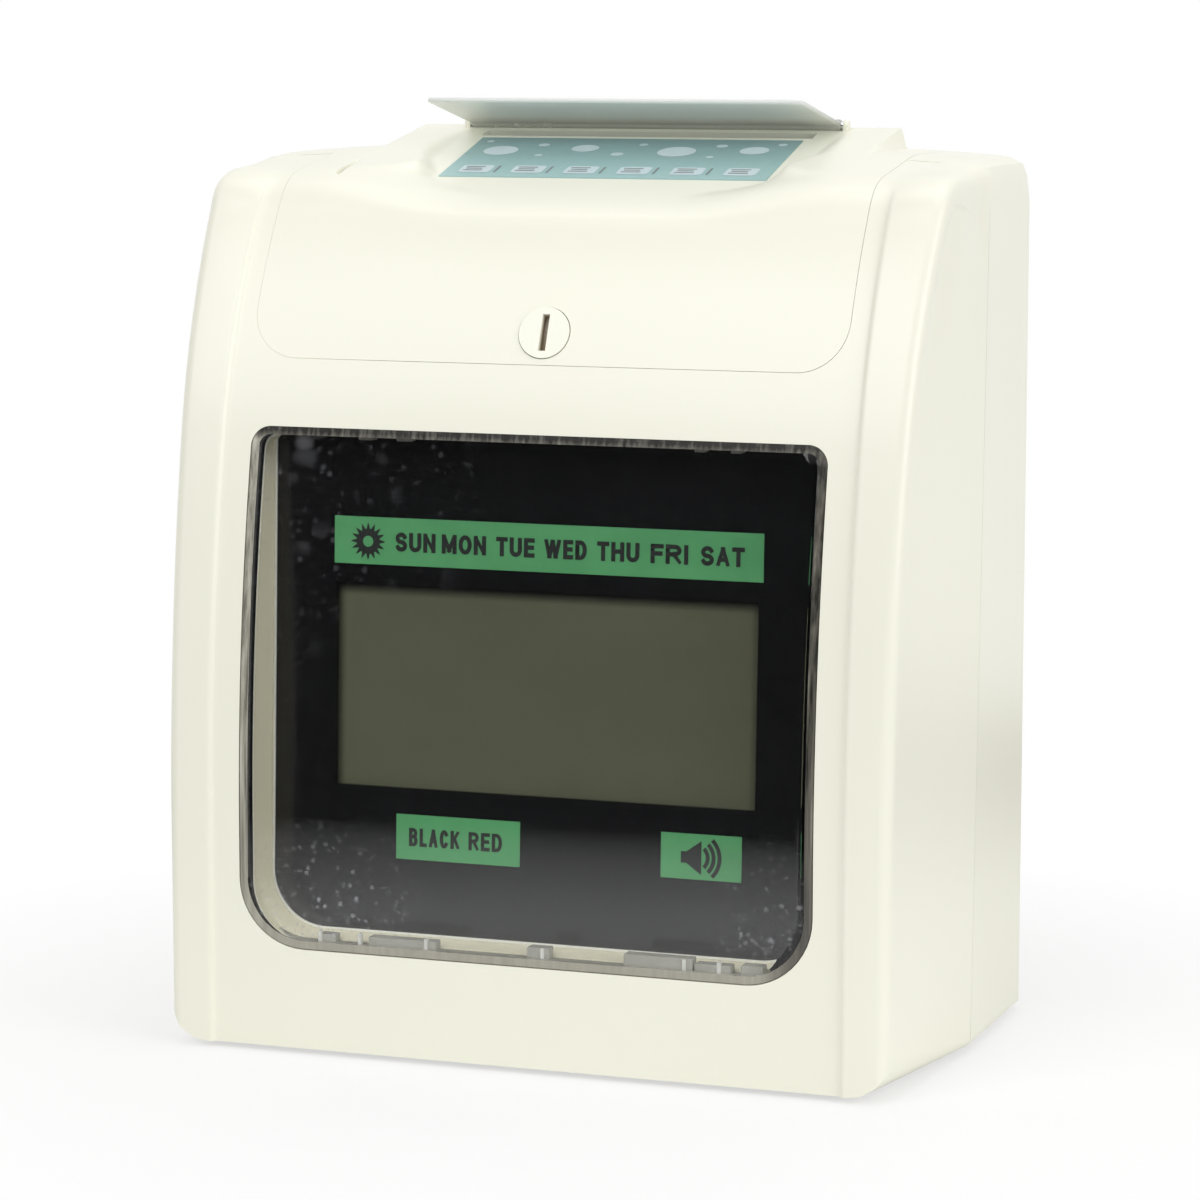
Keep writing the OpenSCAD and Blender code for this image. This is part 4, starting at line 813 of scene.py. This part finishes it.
# Leave out the card throat and a block round the lock, which a ring of faces fills up to the lock's bore
cellX, cellY = np.moveaxis(lidGrid[:-1, :-1] + lidGrid[1:, 1:], -1, 0)[:2] / 2
cellRow = np.arange(len(lidGrid) - 1)[:, None]
inThroat = (abs(cellX) < throat["half"]) & (cellY > throat["front"]) & (cellY < throat["rear"])
lockLowRow, lockHighRow = (int(np.argmin(abs(lidRows - length))) for length in (blockLow, blockHigh))
inLock = (abs(cellX) < lock["block"]) & (cellRow >= lockLowRow) & (cellRow < lockHighRow)
blockX, blockRow = np.meshgrid(lidColumns[abs(lidColumns) <= lock["block"] + 0.001],
                               lidRows[lockLowRow:lockHighRow + 1])
edgeX, edgeL = (np.concatenate([block[0, :-1], block[:-1, -1], block[-1, :0:-1], block[:0:-1, 0]])
                for block in (blockX, blockRow))
angle = np.arctan2(edgeL - lockLength, edgeX)
share = np.array([0, 0.35, 0.65, 0.9, 1.0])[:, None]
ringX = edgeX + (lock["radius"] * np.cos(angle) - edgeX) * share
ringL = edgeL + (lockLength + lock["radius"] * np.sin(angle) - edgeL) * share
lockRing = lidPoints(ringX, *profileAt(ringL))
makePiece("keyedLid", [(lidGrid, False, ~(inThroat | inLock)), ringed(lockRing)], "lid", "creamPlastic",
          ["top_lid"], (0, 80, 150), lid["wall"], lid["eased"])
print("lid")

# Rebate of the front half under the lid's seam
rebate = dict(inner=-0.35, outer=0.3, depth=0.45, leftDepth=0.1, deeper=(-70.0, 50.0), wall=0.6)


def lidOutline(grow):
    # The lid's edge from one top end round its lower corners to the other, as x and arc length, moved by grow
    half, low, bendRound = lid["half"] + grow, lid["low"] - grow, lid["round"] + grow
    cornerLength = lengthAtHeight(low + bendRound * (1 - np.cos(quarter)))
    x = np.concatenate([half - bendRound + bendRound * np.sin(quarter), np.full(39, half)])
    length = np.concatenate([cornerLength, np.linspace(cornerLength[-1], topEnd, 40)[1:]])
    return (np.concatenate([-x[::-1], np.linspace(-x[0], x[0], 40)[1:-1], x]),
            np.concatenate([length[::-1], np.full(38, length[0]), length]))


rebateRows = []
for grow in (rebate["inner"], rebate["outer"]):
    seamX, seamLength = lidOutline(grow)
    lineY, lineZ, lineLean = profileAt(seamLength)
    deeper = (rebate["depth"] - rebate["leftDepth"]) * softRise(seamX, *rebate["deeper"])
    lineY, lineZ = onPanel(lineY, lineZ, lineLean, panelDepth(lineLean) + rebate["leftDepth"] + deeper)
    rebateRows.append(stacked(seamX, lineY, lineZ - crownAt(seamX, lineY, lineZ)))
makePiece("lidRebate", [np.stack(rebateRows)], "case", "creamPlastic", (), (0, 80, 150),
          rebate["wall"])
print("lid rebate")

# Lock: the barrel's solid copied and turned so that the key slot stands as seen, its slot and face larger
lockAxis = Vector((0, -math.cos(lock["lean"]), math.sin(lock["lean"])))
lockPoint = Vector(toFrame((0, lock["y"], lock["z"])))
lockMesh, lockWork = openCopy("lock_barrel")
bmesh.ops.rotate(lockWork, verts=lockWork.verts, cent=lockPoint,
                 matrix=Matrix.Rotation(math.radians(lock["turn"]), 3, lockAxis))
fromLock = closeCopy(lockMesh, lockWork) - np.array(lockPoint)
outLine = np.array(lockAxis)
lockDepth = fromLock @ outLine
fromAxis = fromLock - lockDepth[:, None] * outLine
axisRadius = np.linalg.norm(fromAxis, axis=1) * 1000
onSlot = (axisRadius < lock["slotRadius"]) & (lockDepth * 1000 > -lock["slotDepth"])
slotAcross = np.cross(outLine, np.linalg.svd(fromAxis[onSlot])[2][0])
fromAxis[onSlot] += (lock["slotGrow"] - 1) * (fromAxis[onSlot] @ slotAcross)[:, None] * slotAcross
fromAxis[onSlot | (axisRadius > lock["faceRadius"])] *= lock["grow"]
lockPoints = np.array(lockPoint) + fromAxis + lockDepth[:, None] * outLine
# The lock's finish paints shade into its key slot, darker with depth
lockPlasticPaintedShade = lockFinish("lockPlasticPaintedShade", lockPoint, lockAxis)
lockPiece = placeCopy("lockFace", lockMesh, lockPoints, lockPlasticPaintedShade, 30, "lock", "lock_barrel")
easeEdges(lockPiece, lock["eased"], 30)

# Boss under the lid: a profile of (radius, distance along the axis) turned round the lock's axis
bossProfile = [(4.7, -1.9), (4.7, -18.4), (5.0, -18.7), (5.9, -18.7), (6.2, -18.4), (6.2, -4.0), (8.0, -1.6),
               (4.7, -1.9)]
bossRadius, bossOut = np.array(bossProfile).T[:, :, None]
bossTurn = np.linspace(0, 2 * math.pi, 48, endpoint=False)
bossUp = bossRadius * np.sin(bossTurn)
bossY = lock["y"] - bossOut * math.cos(lock["lean"]) + bossUp * math.sin(lock["lean"])
bossZ = lock["z"] + bossOut * math.sin(lock["lean"]) + bossUp * math.cos(lock["lean"])
makePiece("lockBoss", [ringed(stacked(bossRadius * np.cos(bossTurn), bossY, bossZ))], "lid", "creamPlastic")
print("lock")

# Throat flap: a loop of plate, round front edge and knuckle on its pin, carried across, thinner at both ends
flap = dict(half=50.0, length=28.3, thick=1.2, knuckle=1.45, neck=0.3, y=99.5, z=224.307,
            lift=math.radians(13.0), corner=1.8, cornerRun=(8.0, 20.0), shear=2.0, endLeast=0.02)
halfThick = flap["thick"] / 2
knuckleGap = math.asin(halfThick / flap["knuckle"])
backTurn = np.linspace(knuckleGap, 2 * math.pi - knuckleGap, 24)
frontTurn = np.linspace(-math.pi / 2, math.pi / 2, 11)
tipV = flap["length"] - halfThick
knuckleLoop = flap["knuckle"] * np.stack([np.cos(backTurn), np.sin(backTurn)], -1)
tipLoop = np.stack([tipV + halfThick * np.cos(frontTurn), halfThick * np.sin(frontTurn)], -1)
plateRun = np.linspace(0, 1, 22)[1:-1, None]
neckSpot, tipSpot = np.array([flap["knuckle"] + flap["neck"], -halfThick]), np.array([tipV, -halfThick])
lowRun = neckSpot * (1 - plateRun) + tipSpot * plateRun
flapLoop = np.concatenate([knuckleLoop, lowRun, tipLoop, lowRun[::-1] * np.array([1, -1])])
endTurn = np.linspace(0, math.pi / 2, 6)
endX = flap["half"] - halfThick + halfThick * np.sin(endTurn)
flapX = np.concatenate([-endX[::-1], np.linspace(-endX[0], endX[0], 41)[1:-1], endX])[:, None]
endShare = np.concatenate([np.cos(endTurn)[::-1], np.ones(39), np.cos(endTurn)])[:, None]
cornerCut = np.maximum(0, abs(flapX) - flap["half"] + flap["corner"])
cornerPull = flap["corner"] - np.sqrt(np.maximum(0, flap["corner"] ** 2 - cornerCut ** 2))
flapV = flapLoop[:, 0] - cornerPull * softRise(flapLoop[:, 0], *flap["cornerRun"])
flapW = flapLoop[:, 1] * np.maximum(endShare, flap["endLeast"])
flapGrid = stacked(flapX - flap["shear"] * np.clip(flapV / flap["length"], 0, 1),
                   flap["y"] - flapV * math.cos(flap["lift"]) + flapW * math.sin(flap["lift"]),
                   flap["z"] + flapV * math.sin(flap["lift"]) + flapW * math.cos(flap["lift"]))
flapEnds = [ringed(np.stack([row, np.repeat(row.mean(0, keepdims=True), len(row), 0)]))
            for row in (flapGrid[0], flapGrid[-1])]
# The flap's finish holds painted shade, darker towards its hinge
makePiece("throatFlap", [ringed(flapGrid)] + flapEnds, "flap", "flapPlasticPaintedShade", ["throat_flap"],
          (0, 86, 227.4), sharp=50)

# Ears that carry the flap's pin: an arch carried along x, smaller and closed at both ends
ear = dict(inner=50.4, outer=51.8, radius=1.25, ease=0.3, endShare=0.85, foot=-3.2)
earTurn = np.linspace(-math.pi / 2, math.pi / 2, 17)
earLoop = np.concatenate([ear["radius"] * np.stack([np.sin(earTurn), np.cos(earTurn)], -1),
                          [[ear["radius"], ear["foot"]], [-ear["radius"], ear["foot"]]]])
earFrom, earTo = ear["inner"], ear["outer"]
earX = np.array([earFrom, earFrom, earFrom + ear["ease"], earTo - ear["ease"], earTo, earTo])[:, None]
earScale = np.array([0.0, ear["endShare"], 1.0, 1.0, ear["endShare"], 0.0])[:, None]
earGrid = stacked(earX, flap["y"] + earLoop[:, 0] * earScale, flap["z"] + earLoop[:, 1] * earScale)
makePiece("flapEars", [ringed(earGrid), ringed(earGrid * mirror)], "lid", "creamPlastic")

# The flap's pin: a circle carried along x, with eased and closed ends
pin = dict(reach=51.6, radius=1.0, ease=0.25)
pinTurn = np.linspace(0, 2 * math.pi, 20, endpoint=False)
pinEnd, pinNeck = pin["reach"] - pin["ease"], pin["radius"] - pin["ease"]
pinX = np.array([-pin["reach"], -pin["reach"], -pinEnd, pinEnd, pin["reach"], pin["reach"]])[:, None]
pinRadius = np.array([0, pinNeck, pin["radius"], pin["radius"], pinNeck, 0])[:, None]
pinGrid = stacked(pinX, flap["y"] + pinRadius * np.cos(pinTurn), flap["z"] + pinRadius * np.sin(pinTurn))
makePiece("flapPin", [ringed(pinGrid)], "flap", "polishedRod", ["flap_pin"], (0, 99.5, 224.3))
print("flap")

# Clear window: a curved sheet with a smoky rim and clips
rim = dict(gap=0.12, width=2.1, lap=0.6, depth=4.6, back=0.9, eased=0.2, easedDepth=0.3, innerLap=0.02,
           sheet=1.8, sheetIn=0.06, sideShort=0.1, sideX=-60, sideLow=43,
           clips=((-53.3, -48.7, 1.8), (-40, -22.2, 2.0), (1.3, 7.1, 2.6), (26, 43.4, 2.8), (43.8, 53, 1.8),
                  (55.4, 61, 2.2)),
           topClips=((-46, -42), (-36, -32), (40, 43), (49, 52)),
           posts=(-52.8, -42.3, -24.9, 5.3, 41.3, 50.0))
clip = dict(front=3.2, back=6.4, foot=0.4, topBack=6.0, topLow=0.9, topHigh=0.3)
post = dict(half=0.5, front=2.9, back=4.4, tall=2.6)
lip = dict(rows=((-0.1, 0.5), (0.75, 0.5), (0.75, 0.0)), wall=0.1)
rimOut, rimIn = -rim["gap"], -rim["gap"] - rim["width"]
coverIn = rimIn + rim["lap"]
coverLow, coverTop = window["lowRound"] + coverIn, window["topRound"] + coverIn
coverZ = np.concatenate([window["low"] - coverIn + coverLow * (1 - np.cos(quarter))[:-1],
                         np.linspace(lowArcTop, topArcLow, 44)[:-1],
                         topArcLow + coverTop * np.sin(quarter)])[:, None]
coverHalf = np.concatenate([window["half"] - window["lowRound"] + coverLow * np.sin(quarter)[:-1],
                            np.full(43, window["half"] + coverIn),
                            window["half"] - window["topRound"] + coverTop * np.cos(quarter)])[:, None]
coverGrid = stacked(coverHalf * np.linspace(-1, 1, 41), frontAt(coverZ) + panelStep + rim["sheetIn"], coverZ)
makePiece("clearWindow", [coverGrid], "case", "clearCover", ["display_window"], (0, 60, 88),
          rim["sheet"])
rimBack, rimFront, rimLap = rim["depth"] + rim["back"], panelStep + rim["easedDepth"], rimIn + rim["innerLap"]
rimRows = [outlineRing(grow, depth) for grow, depth in (
    (rimOut, rimFront), (rimOut - rim["eased"], panelStep), (rimLap, panelStep), (rimLap, rimBack),
    (rimOut, rimBack), (rimOut, rimFront))]
# The rim's finish darkens its top and right edges with painted shade
makePiece("windowRim", [ringed(np.stack(rimRows))], "case", "smokyRimPaintedShade")

# Pale inner side of the rim, on the left alone: painted light, the smoky rim's side painted as it looks lit
# there
wallDepth = rim["depth"] - rim["sideShort"]
wallRows = np.stack([outlineRing(rimIn, panelStep + share * wallDepth) for share in (0, 0.5, 1)])
onLeft = (wallRows[:-1, :, 0] < rim["sideX"]) & (wallRows[:-1, :, 2] > rim["sideLow"])
makePiece("rimSidePaintedLight", [(wallRows, True, onLeft)], "case", "rimWallPaintedLight", (), (-90, 8, 88))


def blockGrid(low, high, ease=0.25):
    # A box with eased ends: a rectangle carried along x, smaller at both ends and closed there
    xs = np.array([low[0], low[0], low[0] + ease, high[0] - ease, high[0], high[0]])[:, None]
    shrink = np.array([0, 1, 1, 1, 1, 0])[:, None]
    inset = np.array([ease, ease, 0, 0, ease, ease])[:, None]
    y, z = ((low[i] + high[i]) / 2 + signs * ((high[i] - low[i]) / 2 - inset) * shrink
            for i, signs in ((1, np.array([-1, 1, 1, -1])), (2, np.array([-1, -1, 1, 1]))))
    return ringed(stacked(xs, y, z))


lowEdge, topEdge = window["low"] - rimIn, window["high"] + rimIn
topY, footZ = frontAt(topEdge), lowEdge - clip["foot"]
clipBlocks = [blockGrid((left, clip["front"], footZ), (right, clip["back"], lowEdge + tall))
              for left, right, tall in rim["clips"]]
clipBlocks += [blockGrid((left, topY + clip["front"], topEdge - clip["topLow"]),
                         (right, topY + clip["topBack"], topEdge + clip["topHigh"]))
               for left, right in rim["topClips"]]
makePiece("windowClips", clipBlocks, "case", "clipPlastic")
postBlocks = [blockGrid((x - post["half"], post["front"], footZ),
                        (x + post["half"], post["back"], lowEdge + post["tall"])) for x in rim["posts"]]
makePiece("windowPosts", postBlocks, "case", "postPlastic")

# Bright lip round the mask, painted pale as the highlight along the tunnel's inner corner: (inset, height in
# front of the mask) of its rows
lipRows = [onMask(*windowOutline(-tunnel["ledge"] - inset).T, proud) for inset, proud in lip["rows"]]
makePiece("maskLipPaintedHighlight", [ringed(np.stack(lipRows))], "case", "lipPaintedHighlight", (), (0, 60, 88.7),
          lip["wall"])
print("clear window")

# Printed legends on the display mask
legend = dict(proud=0.12, inkProud=0.17, strips=(((-55, 55.5), (118.4, 130.0)), ((-37.9, -5.4), (46.2, 57.3)),
                                                 ((30.9, 51.3), (46.3, 57.3))),
              dayCaps=(121.8, 126.5), colorCaps=(49.5, 54.0), sun=(-46.1, 124.0), rays=16, raySlim=0.25,
              sunHole=1.35, sunBody=3.1, sunRay=1.5, sunMiddle=0.7, horn=(39.6, 51.6),
              hornX=(-3.6, -2.2, -2.2, 1.6), hornHalf=(1.4, 1.4, 1.4, 4.1), arcs=(2.7, 4.2, 5.7), arcWide=1.0,
              arcReach=0.8)
plateSink = -0.02
ink = dict(day=1.08, color=0.9, gap=0.5, layer=0.004)
dayWords = [("SUN", -38.9, -28.3), ("MON", -26.7, -15.1), ("TUE", -12.5, -2.5), ("WED", -0.1, 10.9),
            ("THU", 13.5, 24.3), ("FRI", 27.1, 36.7), ("SAT", 39.8, 50.8)]
colorWords = [("BLACK", -34.5, -21.1), ("RED", -18.8, -10.0)]


def plate(place, spanX, spanV, proud):
    # A flat plate on a surface, with its edges turned back to it
    x = np.concatenate([spanX[:1], np.linspace(*spanX, 9), spanX[1:]])
    v = np.concatenate([spanV[:1], np.linspace(*spanV, 5), spanV[1:]])[:, None]
    height = np.full((7, 11), proud)
    height[[0, -1]] = plateSink
    height[:, [0, -1]] = plateSink
    return place(x, v, height)


def arc(middleX, middleY, radiusX, radiusY, fromTurn=80, toTurn=-80, count=11):
    # Points along an arc, angles in degrees
    turn = np.radians(np.linspace(fromTurn, toTurn, count))
    return np.stack([middleX + radiusX * np.cos(turn), middleY + radiusY * np.sin(turn)], -1)


# Letters: width, then pen lines of points and arcs in a unit box
stem, rightStem = [(0, 0), (0, 1)], [(1, 0), (1, 1)]
letterLines = {
    "A": (0.96, [[(0, 0), (0.5, 1)], [(0.5, 1), (1, 0)], [(0.2, 0.3), (0.8, 0.3)]]),
    "B": (0.92, [stem, [(0, 1), (0.55, 1), arc(0.55, 0.77, 0.38, 0.23), (0.55, 0.54), (0, 0.54)],
                 [(0.5, 0.54), arc(0.58, 0.27, 0.42, 0.27), (0.55, 0), (0, 0)]]),
    "C": (0.94, [[arc(0.5, 0.5, 0.5, 0.5, 42, 318, 21)]]),
    "D": (0.94, [stem, [(0, 1), (0.42, 1), arc(0.44, 0.5, 0.56, 0.5, 80, -80, 17), (0.42, 0), (0, 0)]]),
    "E": (0.82, [stem, [(0, 1), (1, 1)], [(0, 0.52), (0.9, 0.52)], [(0, 0), (1, 0)]]),
    "F": (0.78, [stem, [(0, 1), (1, 1)], [(0, 0.52), (0.88, 0.52)]]),
    "H": (0.94, [stem, rightStem, [(0, 0.52), (1, 0.52)]]),
    "I": (0.28, [[(0.5, 0), (0.5, 1)]]),
    "K": (0.98, [stem, [(0.02, 0.36), (0.96, 1)], [(0.38, 0.6), (1, 0)]]),
    "L": (0.78, [stem, [(0, 0), (1, 0)]]),
    "M": (1.14, [stem, rightStem, [(0.04, 1), (0.5, 0.1)], [(0.5, 0.1), (0.96, 1)]]),
    "N": (0.94, [stem, rightStem, [(0.02, 1), (0.98, 0)]]),
    "O": (1.0, [[arc(0.5, 0.5, 0.5, 0.5, 0, 360, 33)]]),
    "R": (0.96, [stem, [(0, 1), (0.56, 1), arc(0.58, 0.76, 0.4, 0.24), (0.56, 0.5), (0, 0.5)],
                 [(0.5, 0.5), (1, 0)]]),
    "S": (0.9, [[arc(0.5, 0.75, 0.48, 0.25, 24, 262, 17), arc(0.5, 0.25, 0.5, 0.25, 82, -156, 17)]]),
    "T": (0.88, [[(0, 1), (1, 1)], [(0.5, 0), (0.5, 1)]]),
    "U": (0.94, [[(0, 1), (0, 0.34), arc(0.5, 0.32, 0.5, 0.32, 190, 350, 15), (1, 0.34), (1, 1)]]),
    "W": (1.4, [[(0, 1), (0.26, 0)], [(0.26, 0), (0.5, 0.96)], [(0.5, 0.96), (0.74, 0)],
                [(0.74, 0), (1, 1)]]),
}


def penStrip(line, size, corner, depth, pen):
    # A line drawn with a broad pen: its points pushed out to both sides along the mean normal, cut at the box
    spots = np.concatenate([np.atleast_2d(np.array(part, float)) for part in line])
    run = corner + pen / 2 + spots * (size - pen)
    step = np.diff(run, axis=0)
    step = step / np.hypot(step[:, 0], step[:, 1])[:, None]
    run[0] -= step[0] * pen / 2
    run[-1] += step[-1] * pen / 2
    way = np.concatenate([step[:1], step[:-1] + step[1:], step[-1:]])
    way = way / np.hypot(way[:, 0], way[:, 1])[:, None]
    lean = np.concatenate([[1], np.maximum(0.6, (step[:-1] * way[1:-1]).sum(1)), [1]])
    push = np.stack([-way[:, 1], way[:, 0]], -1) * (pen / 2 / lean)[:, None]
    both = np.clip(np.stack([run - push, run + push]), corner, corner + size)
    return onMask(both[..., 0], both[..., 1], legend["inkProud"] + depth)


def inkWords(words, low, high, pen):
    # The letters of each word side by side between its two ends, each a few broad pen lines
    strips = []
    for word, left, right in words:
        wide = np.array([letterLines[letter][0] for letter in word])
        wide = wide * (right - left - ink["gap"] * (len(word) - 1)) / wide.sum()
        starts = left + np.concatenate([[0], np.cumsum(wide + ink["gap"])[:-1]])
        for i, letter in enumerate(word):
            size, corner = np.array([wide[i], high - low]), np.array([starts[i], low])
            strips += [penStrip(line, size, corner, ink["layer"] * k, pen)
                       for k, line in enumerate(letterLines[letter][1])]
    return strips


makePiece("legendStrips", [plate(onMask, *spans, legend["proud"]) for spans in legend["strips"]], "case",
          "stripGreen", (), (0, 40, 88))
rays = legend["rays"]
ray = np.linspace(0, 2 * math.pi, rays * 8, endpoint=False)
spike = np.abs((ray * rays / (2 * math.pi)) % 1 - 0.5) * 2
rayShare = np.clip((spike - legend["raySlim"]) / (1 - legend["raySlim"]), 0, 1)
sunOut = legend["sunBody"] + legend["sunRay"] * rayShare
sunR = np.stack([np.full_like(ray, legend["sunHole"]), sunOut * legend["sunMiddle"], sunOut])
sunX, sunZ = legend["sun"]
sunGrid = onMask(sunX + sunR * np.cos(ray), sunZ + sunR * np.sin(ray), legend["inkProud"])
soundX, soundZ = legend["horn"]
arcTurn = np.linspace(-legend["arcReach"], legend["arcReach"], 17)
arcPair = [np.array([[inner], [inner + legend["arcWide"]]]) for inner in legend["arcs"]]
soundArcs = [onMask(soundX + pair * np.cos(arcTurn), soundZ + pair * np.sin(arcTurn), legend["inkProud"])
             for pair in arcPair]
hornZ = np.array(legend["hornHalf"]) * np.array([[-1], [1]])
horn = onMask(soundX + np.array(legend["hornX"]), soundZ + hornZ, legend["inkProud"])
words = inkWords(dayWords, *legend["dayCaps"], ink["day"])
words += inkWords(colorWords, *legend["colorCaps"], ink["color"])
makePiece("legendInk", [ringed(sunGrid), horn] + soundArcs + words, "case", "printInk", (),
          (0, 40, 88))
print("legends")

# Instruction label: a plain design of dots and blank cards, each (x, up the slope, size)
label = dict(half=43.0, length=32.0, base=0.24, ink=0.3, squash=0.8, cardRow=6.0, cardHalf=(4.2, 2.9),
             cardSpan=35, cardPower=0.28, lineHalf=0.3, lineRows=((7.6, 2.6), (6.2, 2.2), (4.8, 2.6)),
             lineShift=0.6, lineProud=0.05, barShift=5.6, barHalf=2.6)
dotRows = ((-34, 21, 4.6), (-12, 23.5, 3.6), (13, 21.5, 5.0), (33, 23, 3.8), (-24, 26, 1.5),
           (-22.5, 17.5, 1.1), (-2, 19, 1.7), (2.5, 27, 1.2), (23.5, 26.5, 1.5), (23, 17.5, 1.0),
           (39, 28, 1.2), (-39.5, 28.5, 1.0))
ringTurn = np.linspace(0, 2 * math.pi, 40, endpoint=False)
ringShare = np.array([[0.0], [0.6], [1.0]])


def onLabel(x, v, proud):
    # Points on the sloping recess floor, v up the slope from the label's near edge
    sine, cosine = math.sin(recess["slope"]), math.cos(recess["slope"])
    return stacked(x, recess["y"] + v * cosine - proud * sine, recess["z"] + v * sine + proud * cosine)


def dotGrid(x, v, radius):
    # A flat oval spot as rings round its middle
    across, up = radius * np.cos(ringTurn), radius * np.sin(ringTurn) * label["squash"]
    return ringed(onLabel(x + ringShare * across, v + ringShare * up, label["ink"]))


def cardGrid(x, v, halfX, halfV, proud=label["ink"]):
    # A flat rectangle with round corners as rings round its middle
    across, up = (np.sign(wave) * np.abs(wave) ** label["cardPower"]
                  for wave in (np.cos(ringTurn), np.sin(ringTurn)))
    return ringed(onLabel(x + ringShare * across * halfX, v + ringShare * up * halfV, proud))


sheet = plate(onLabel, (-label["half"], label["half"]), (0, label["length"]), label["base"])
# The label's finish holds the flap's painted shadow, darker towards its far edge
makePiece("instructionLabel", [sheet], "lid", "labelTealPaintedShadow", ["instruction_label"], (0, 76, 200))
cardX = np.linspace(-label["cardSpan"], label["cardSpan"], 6)
spots = [dotGrid(*row) for row in dotRows]
spots += [cardGrid(x, label["cardRow"], *label["cardHalf"]) for x in cardX]
makePiece("labelSpots", spots, "lid", "paleInk", (), (0, 76, 200))
lines = [cardGrid(x - label["lineShift"], v, half, label["lineHalf"], label["ink"] + label["lineProud"])
         for x in cardX for v, half in label["lineRows"]]
lines += [cardGrid(x + label["barShift"], label["cardRow"], label["lineHalf"], label["barHalf"])
          for x in cardX[:-1]]
makePiece("labelLines", lines, "lid", "greyInk", (), (0, 76, 200))
print("label")

# Stage: pale floor, soft lamps, white surroundings and the photograph's viewpoint
stage = dict(floorHalf=0.5, lift=0.6, fade=(0.1, 0.24), dark=(0.24, 0.42), gloom=0.03, room=0.42, lens=126.24,
             sensor=36, camera=(0.3547, -0.9793, 0.2523), pitch=82.14, yaw=19.85)
# Lamps: name, place and aim in metres, size, power
lampRows = (("frontLamp", (-0.5, -1.5, 1.3), (0, 0, 0.12), 1.2, 14.0),
            ("topLamp", (0.1, 0.1, 1.6), (0, 0, 0.1), 1.3, 7.0),
            ("sideLamp", (1.5, -0.5, 0.7), (0, 0, 0.12), 1.0, 10.5))


def bounceOf(tree, path):
    # Rays that come by gloss or through clear pieces
    return mathOf(tree, "MAXIMUM", path["Is Glossy Ray"], path["Is Transmission Ray"])


def makeFloor():
    # A flat pale floor under the feet: nearly white to the camera and more so away from the object, and
    # darker with distance in gloss
    mesh = bpy.data.meshes.new("paleFloor")
    half = stage["floorHalf"]
    corners = [(-half, -half, 0), (half, -half, 0), (half, half, 0), (-half, half, 0)]
    mesh.from_pydata(corners, [], [(0, 1, 2, 3)])
    made, tree, shader, place = startFinish("paleFloor")
    feed(tree, shader.inputs, {"Roughness": 0.8, "Base Color": rampOf(
        tree, noiseOf(tree, place, 12), [(0.3, (244, 244, 244)), (0.7, (248, 248, 248))])})
    away = nodeOf(tree, "VectorMath", {0: place}, "LENGTH")["Value"]
    fade = rangeOf(tree, away, stage["lift"], 1.0, *stage["fade"])
    dark = rangeOf(tree, away, 0.0, 1.0, *stage["dark"])
    path = nodeOf(tree, "LightPath", {})
    white = nodeOf(tree, "Emission", {})["Emission"]
    black = nodeOf(tree, "Emission", {"Strength": stage["gloom"]})["Emission"]
    seen = mathOf(tree, "MULTIPLY", fade, path["Is Camera Ray"])
    gloss = mathOf(tree, "MULTIPLY", dark, bounceOf(tree, path))
    last = mixShaders(tree, seen, shader.outputs["BSDF"], white)
    showAs(tree, mixShaders(tree, gloss, last, black))
    mesh.materials.append(made)
    addObject("paleFloor", mesh)


def makeSurroundings():
    # White for the camera; white behind and dim in front for gloss and clear pieces; a soft level elsewhere
    world = bpy.data.worlds.new("softRoom")
    bpy.context.scene.world = world
    world.use_nodes = True
    tree = world.node_tree
    tree.nodes.clear()
    path = nodeOf(tree, "LightPath", {})
    split = splitOf(tree, nodeOf(tree, "TexCoord", {})["Generated"])
    behind = rangeOf(tree, split["Y"], stage["gloom"], 1.0, -0.3, 0.3)
    raised = rangeOf(tree, split["Z"], 0.0, 0.4, 0.25, 0.6)
    gloss = mathOf(tree, "MULTIPLY", bounceOf(tree, path), mathOf(tree, "MAXIMUM", behind, raised))
    level = mathOf(tree, "MAXIMUM", path["Is Camera Ray"], gloss)
    diffuse = mathOf(tree, "MULTIPLY", path["Is Diffuse Ray"], stage["room"])
    strength = mathOf(tree, "MAXIMUM", level, diffuse)
    light = nodeOf(tree, "Background", {"Color": (1, 1, 1, 1), "Strength": strength})["Background"]
    nodeOf(tree, "OutputWorld", {"Surface": light})


def addLamp(name, place, aim, size, power):
    # A square soft lamp turned towards a point
    data = bpy.data.lights.new(name, "AREA")
    data.size = size
    data.energy = power
    lamp = addObject(name, data)
    lamp.location = place
    towards = np.array(aim) - np.array(place)
    flat = math.hypot(towards[0], towards[1])
    lamp.rotation_euler = (math.atan2(flat, -towards[2]), 0, math.atan2(towards[1], towards[0]) - math.pi / 2)


makeFloor()
makeSurroundings()
for row in lampRows:
    addLamp(*row)
cameraData = bpy.data.cameras.new("photoView")
cameraData.lens = stage["lens"]
cameraData.sensor_width = stage["sensor"]
camera = addObject("photoView", cameraData)
camera.location = stage["camera"]
camera.rotation_euler = (math.radians(stage["pitch"]), 0, math.radians(stage["yaw"]))
bpy.context.scene.camera = camera
bpy.context.scene.view_settings.view_transform = "Standard"
print("stage")
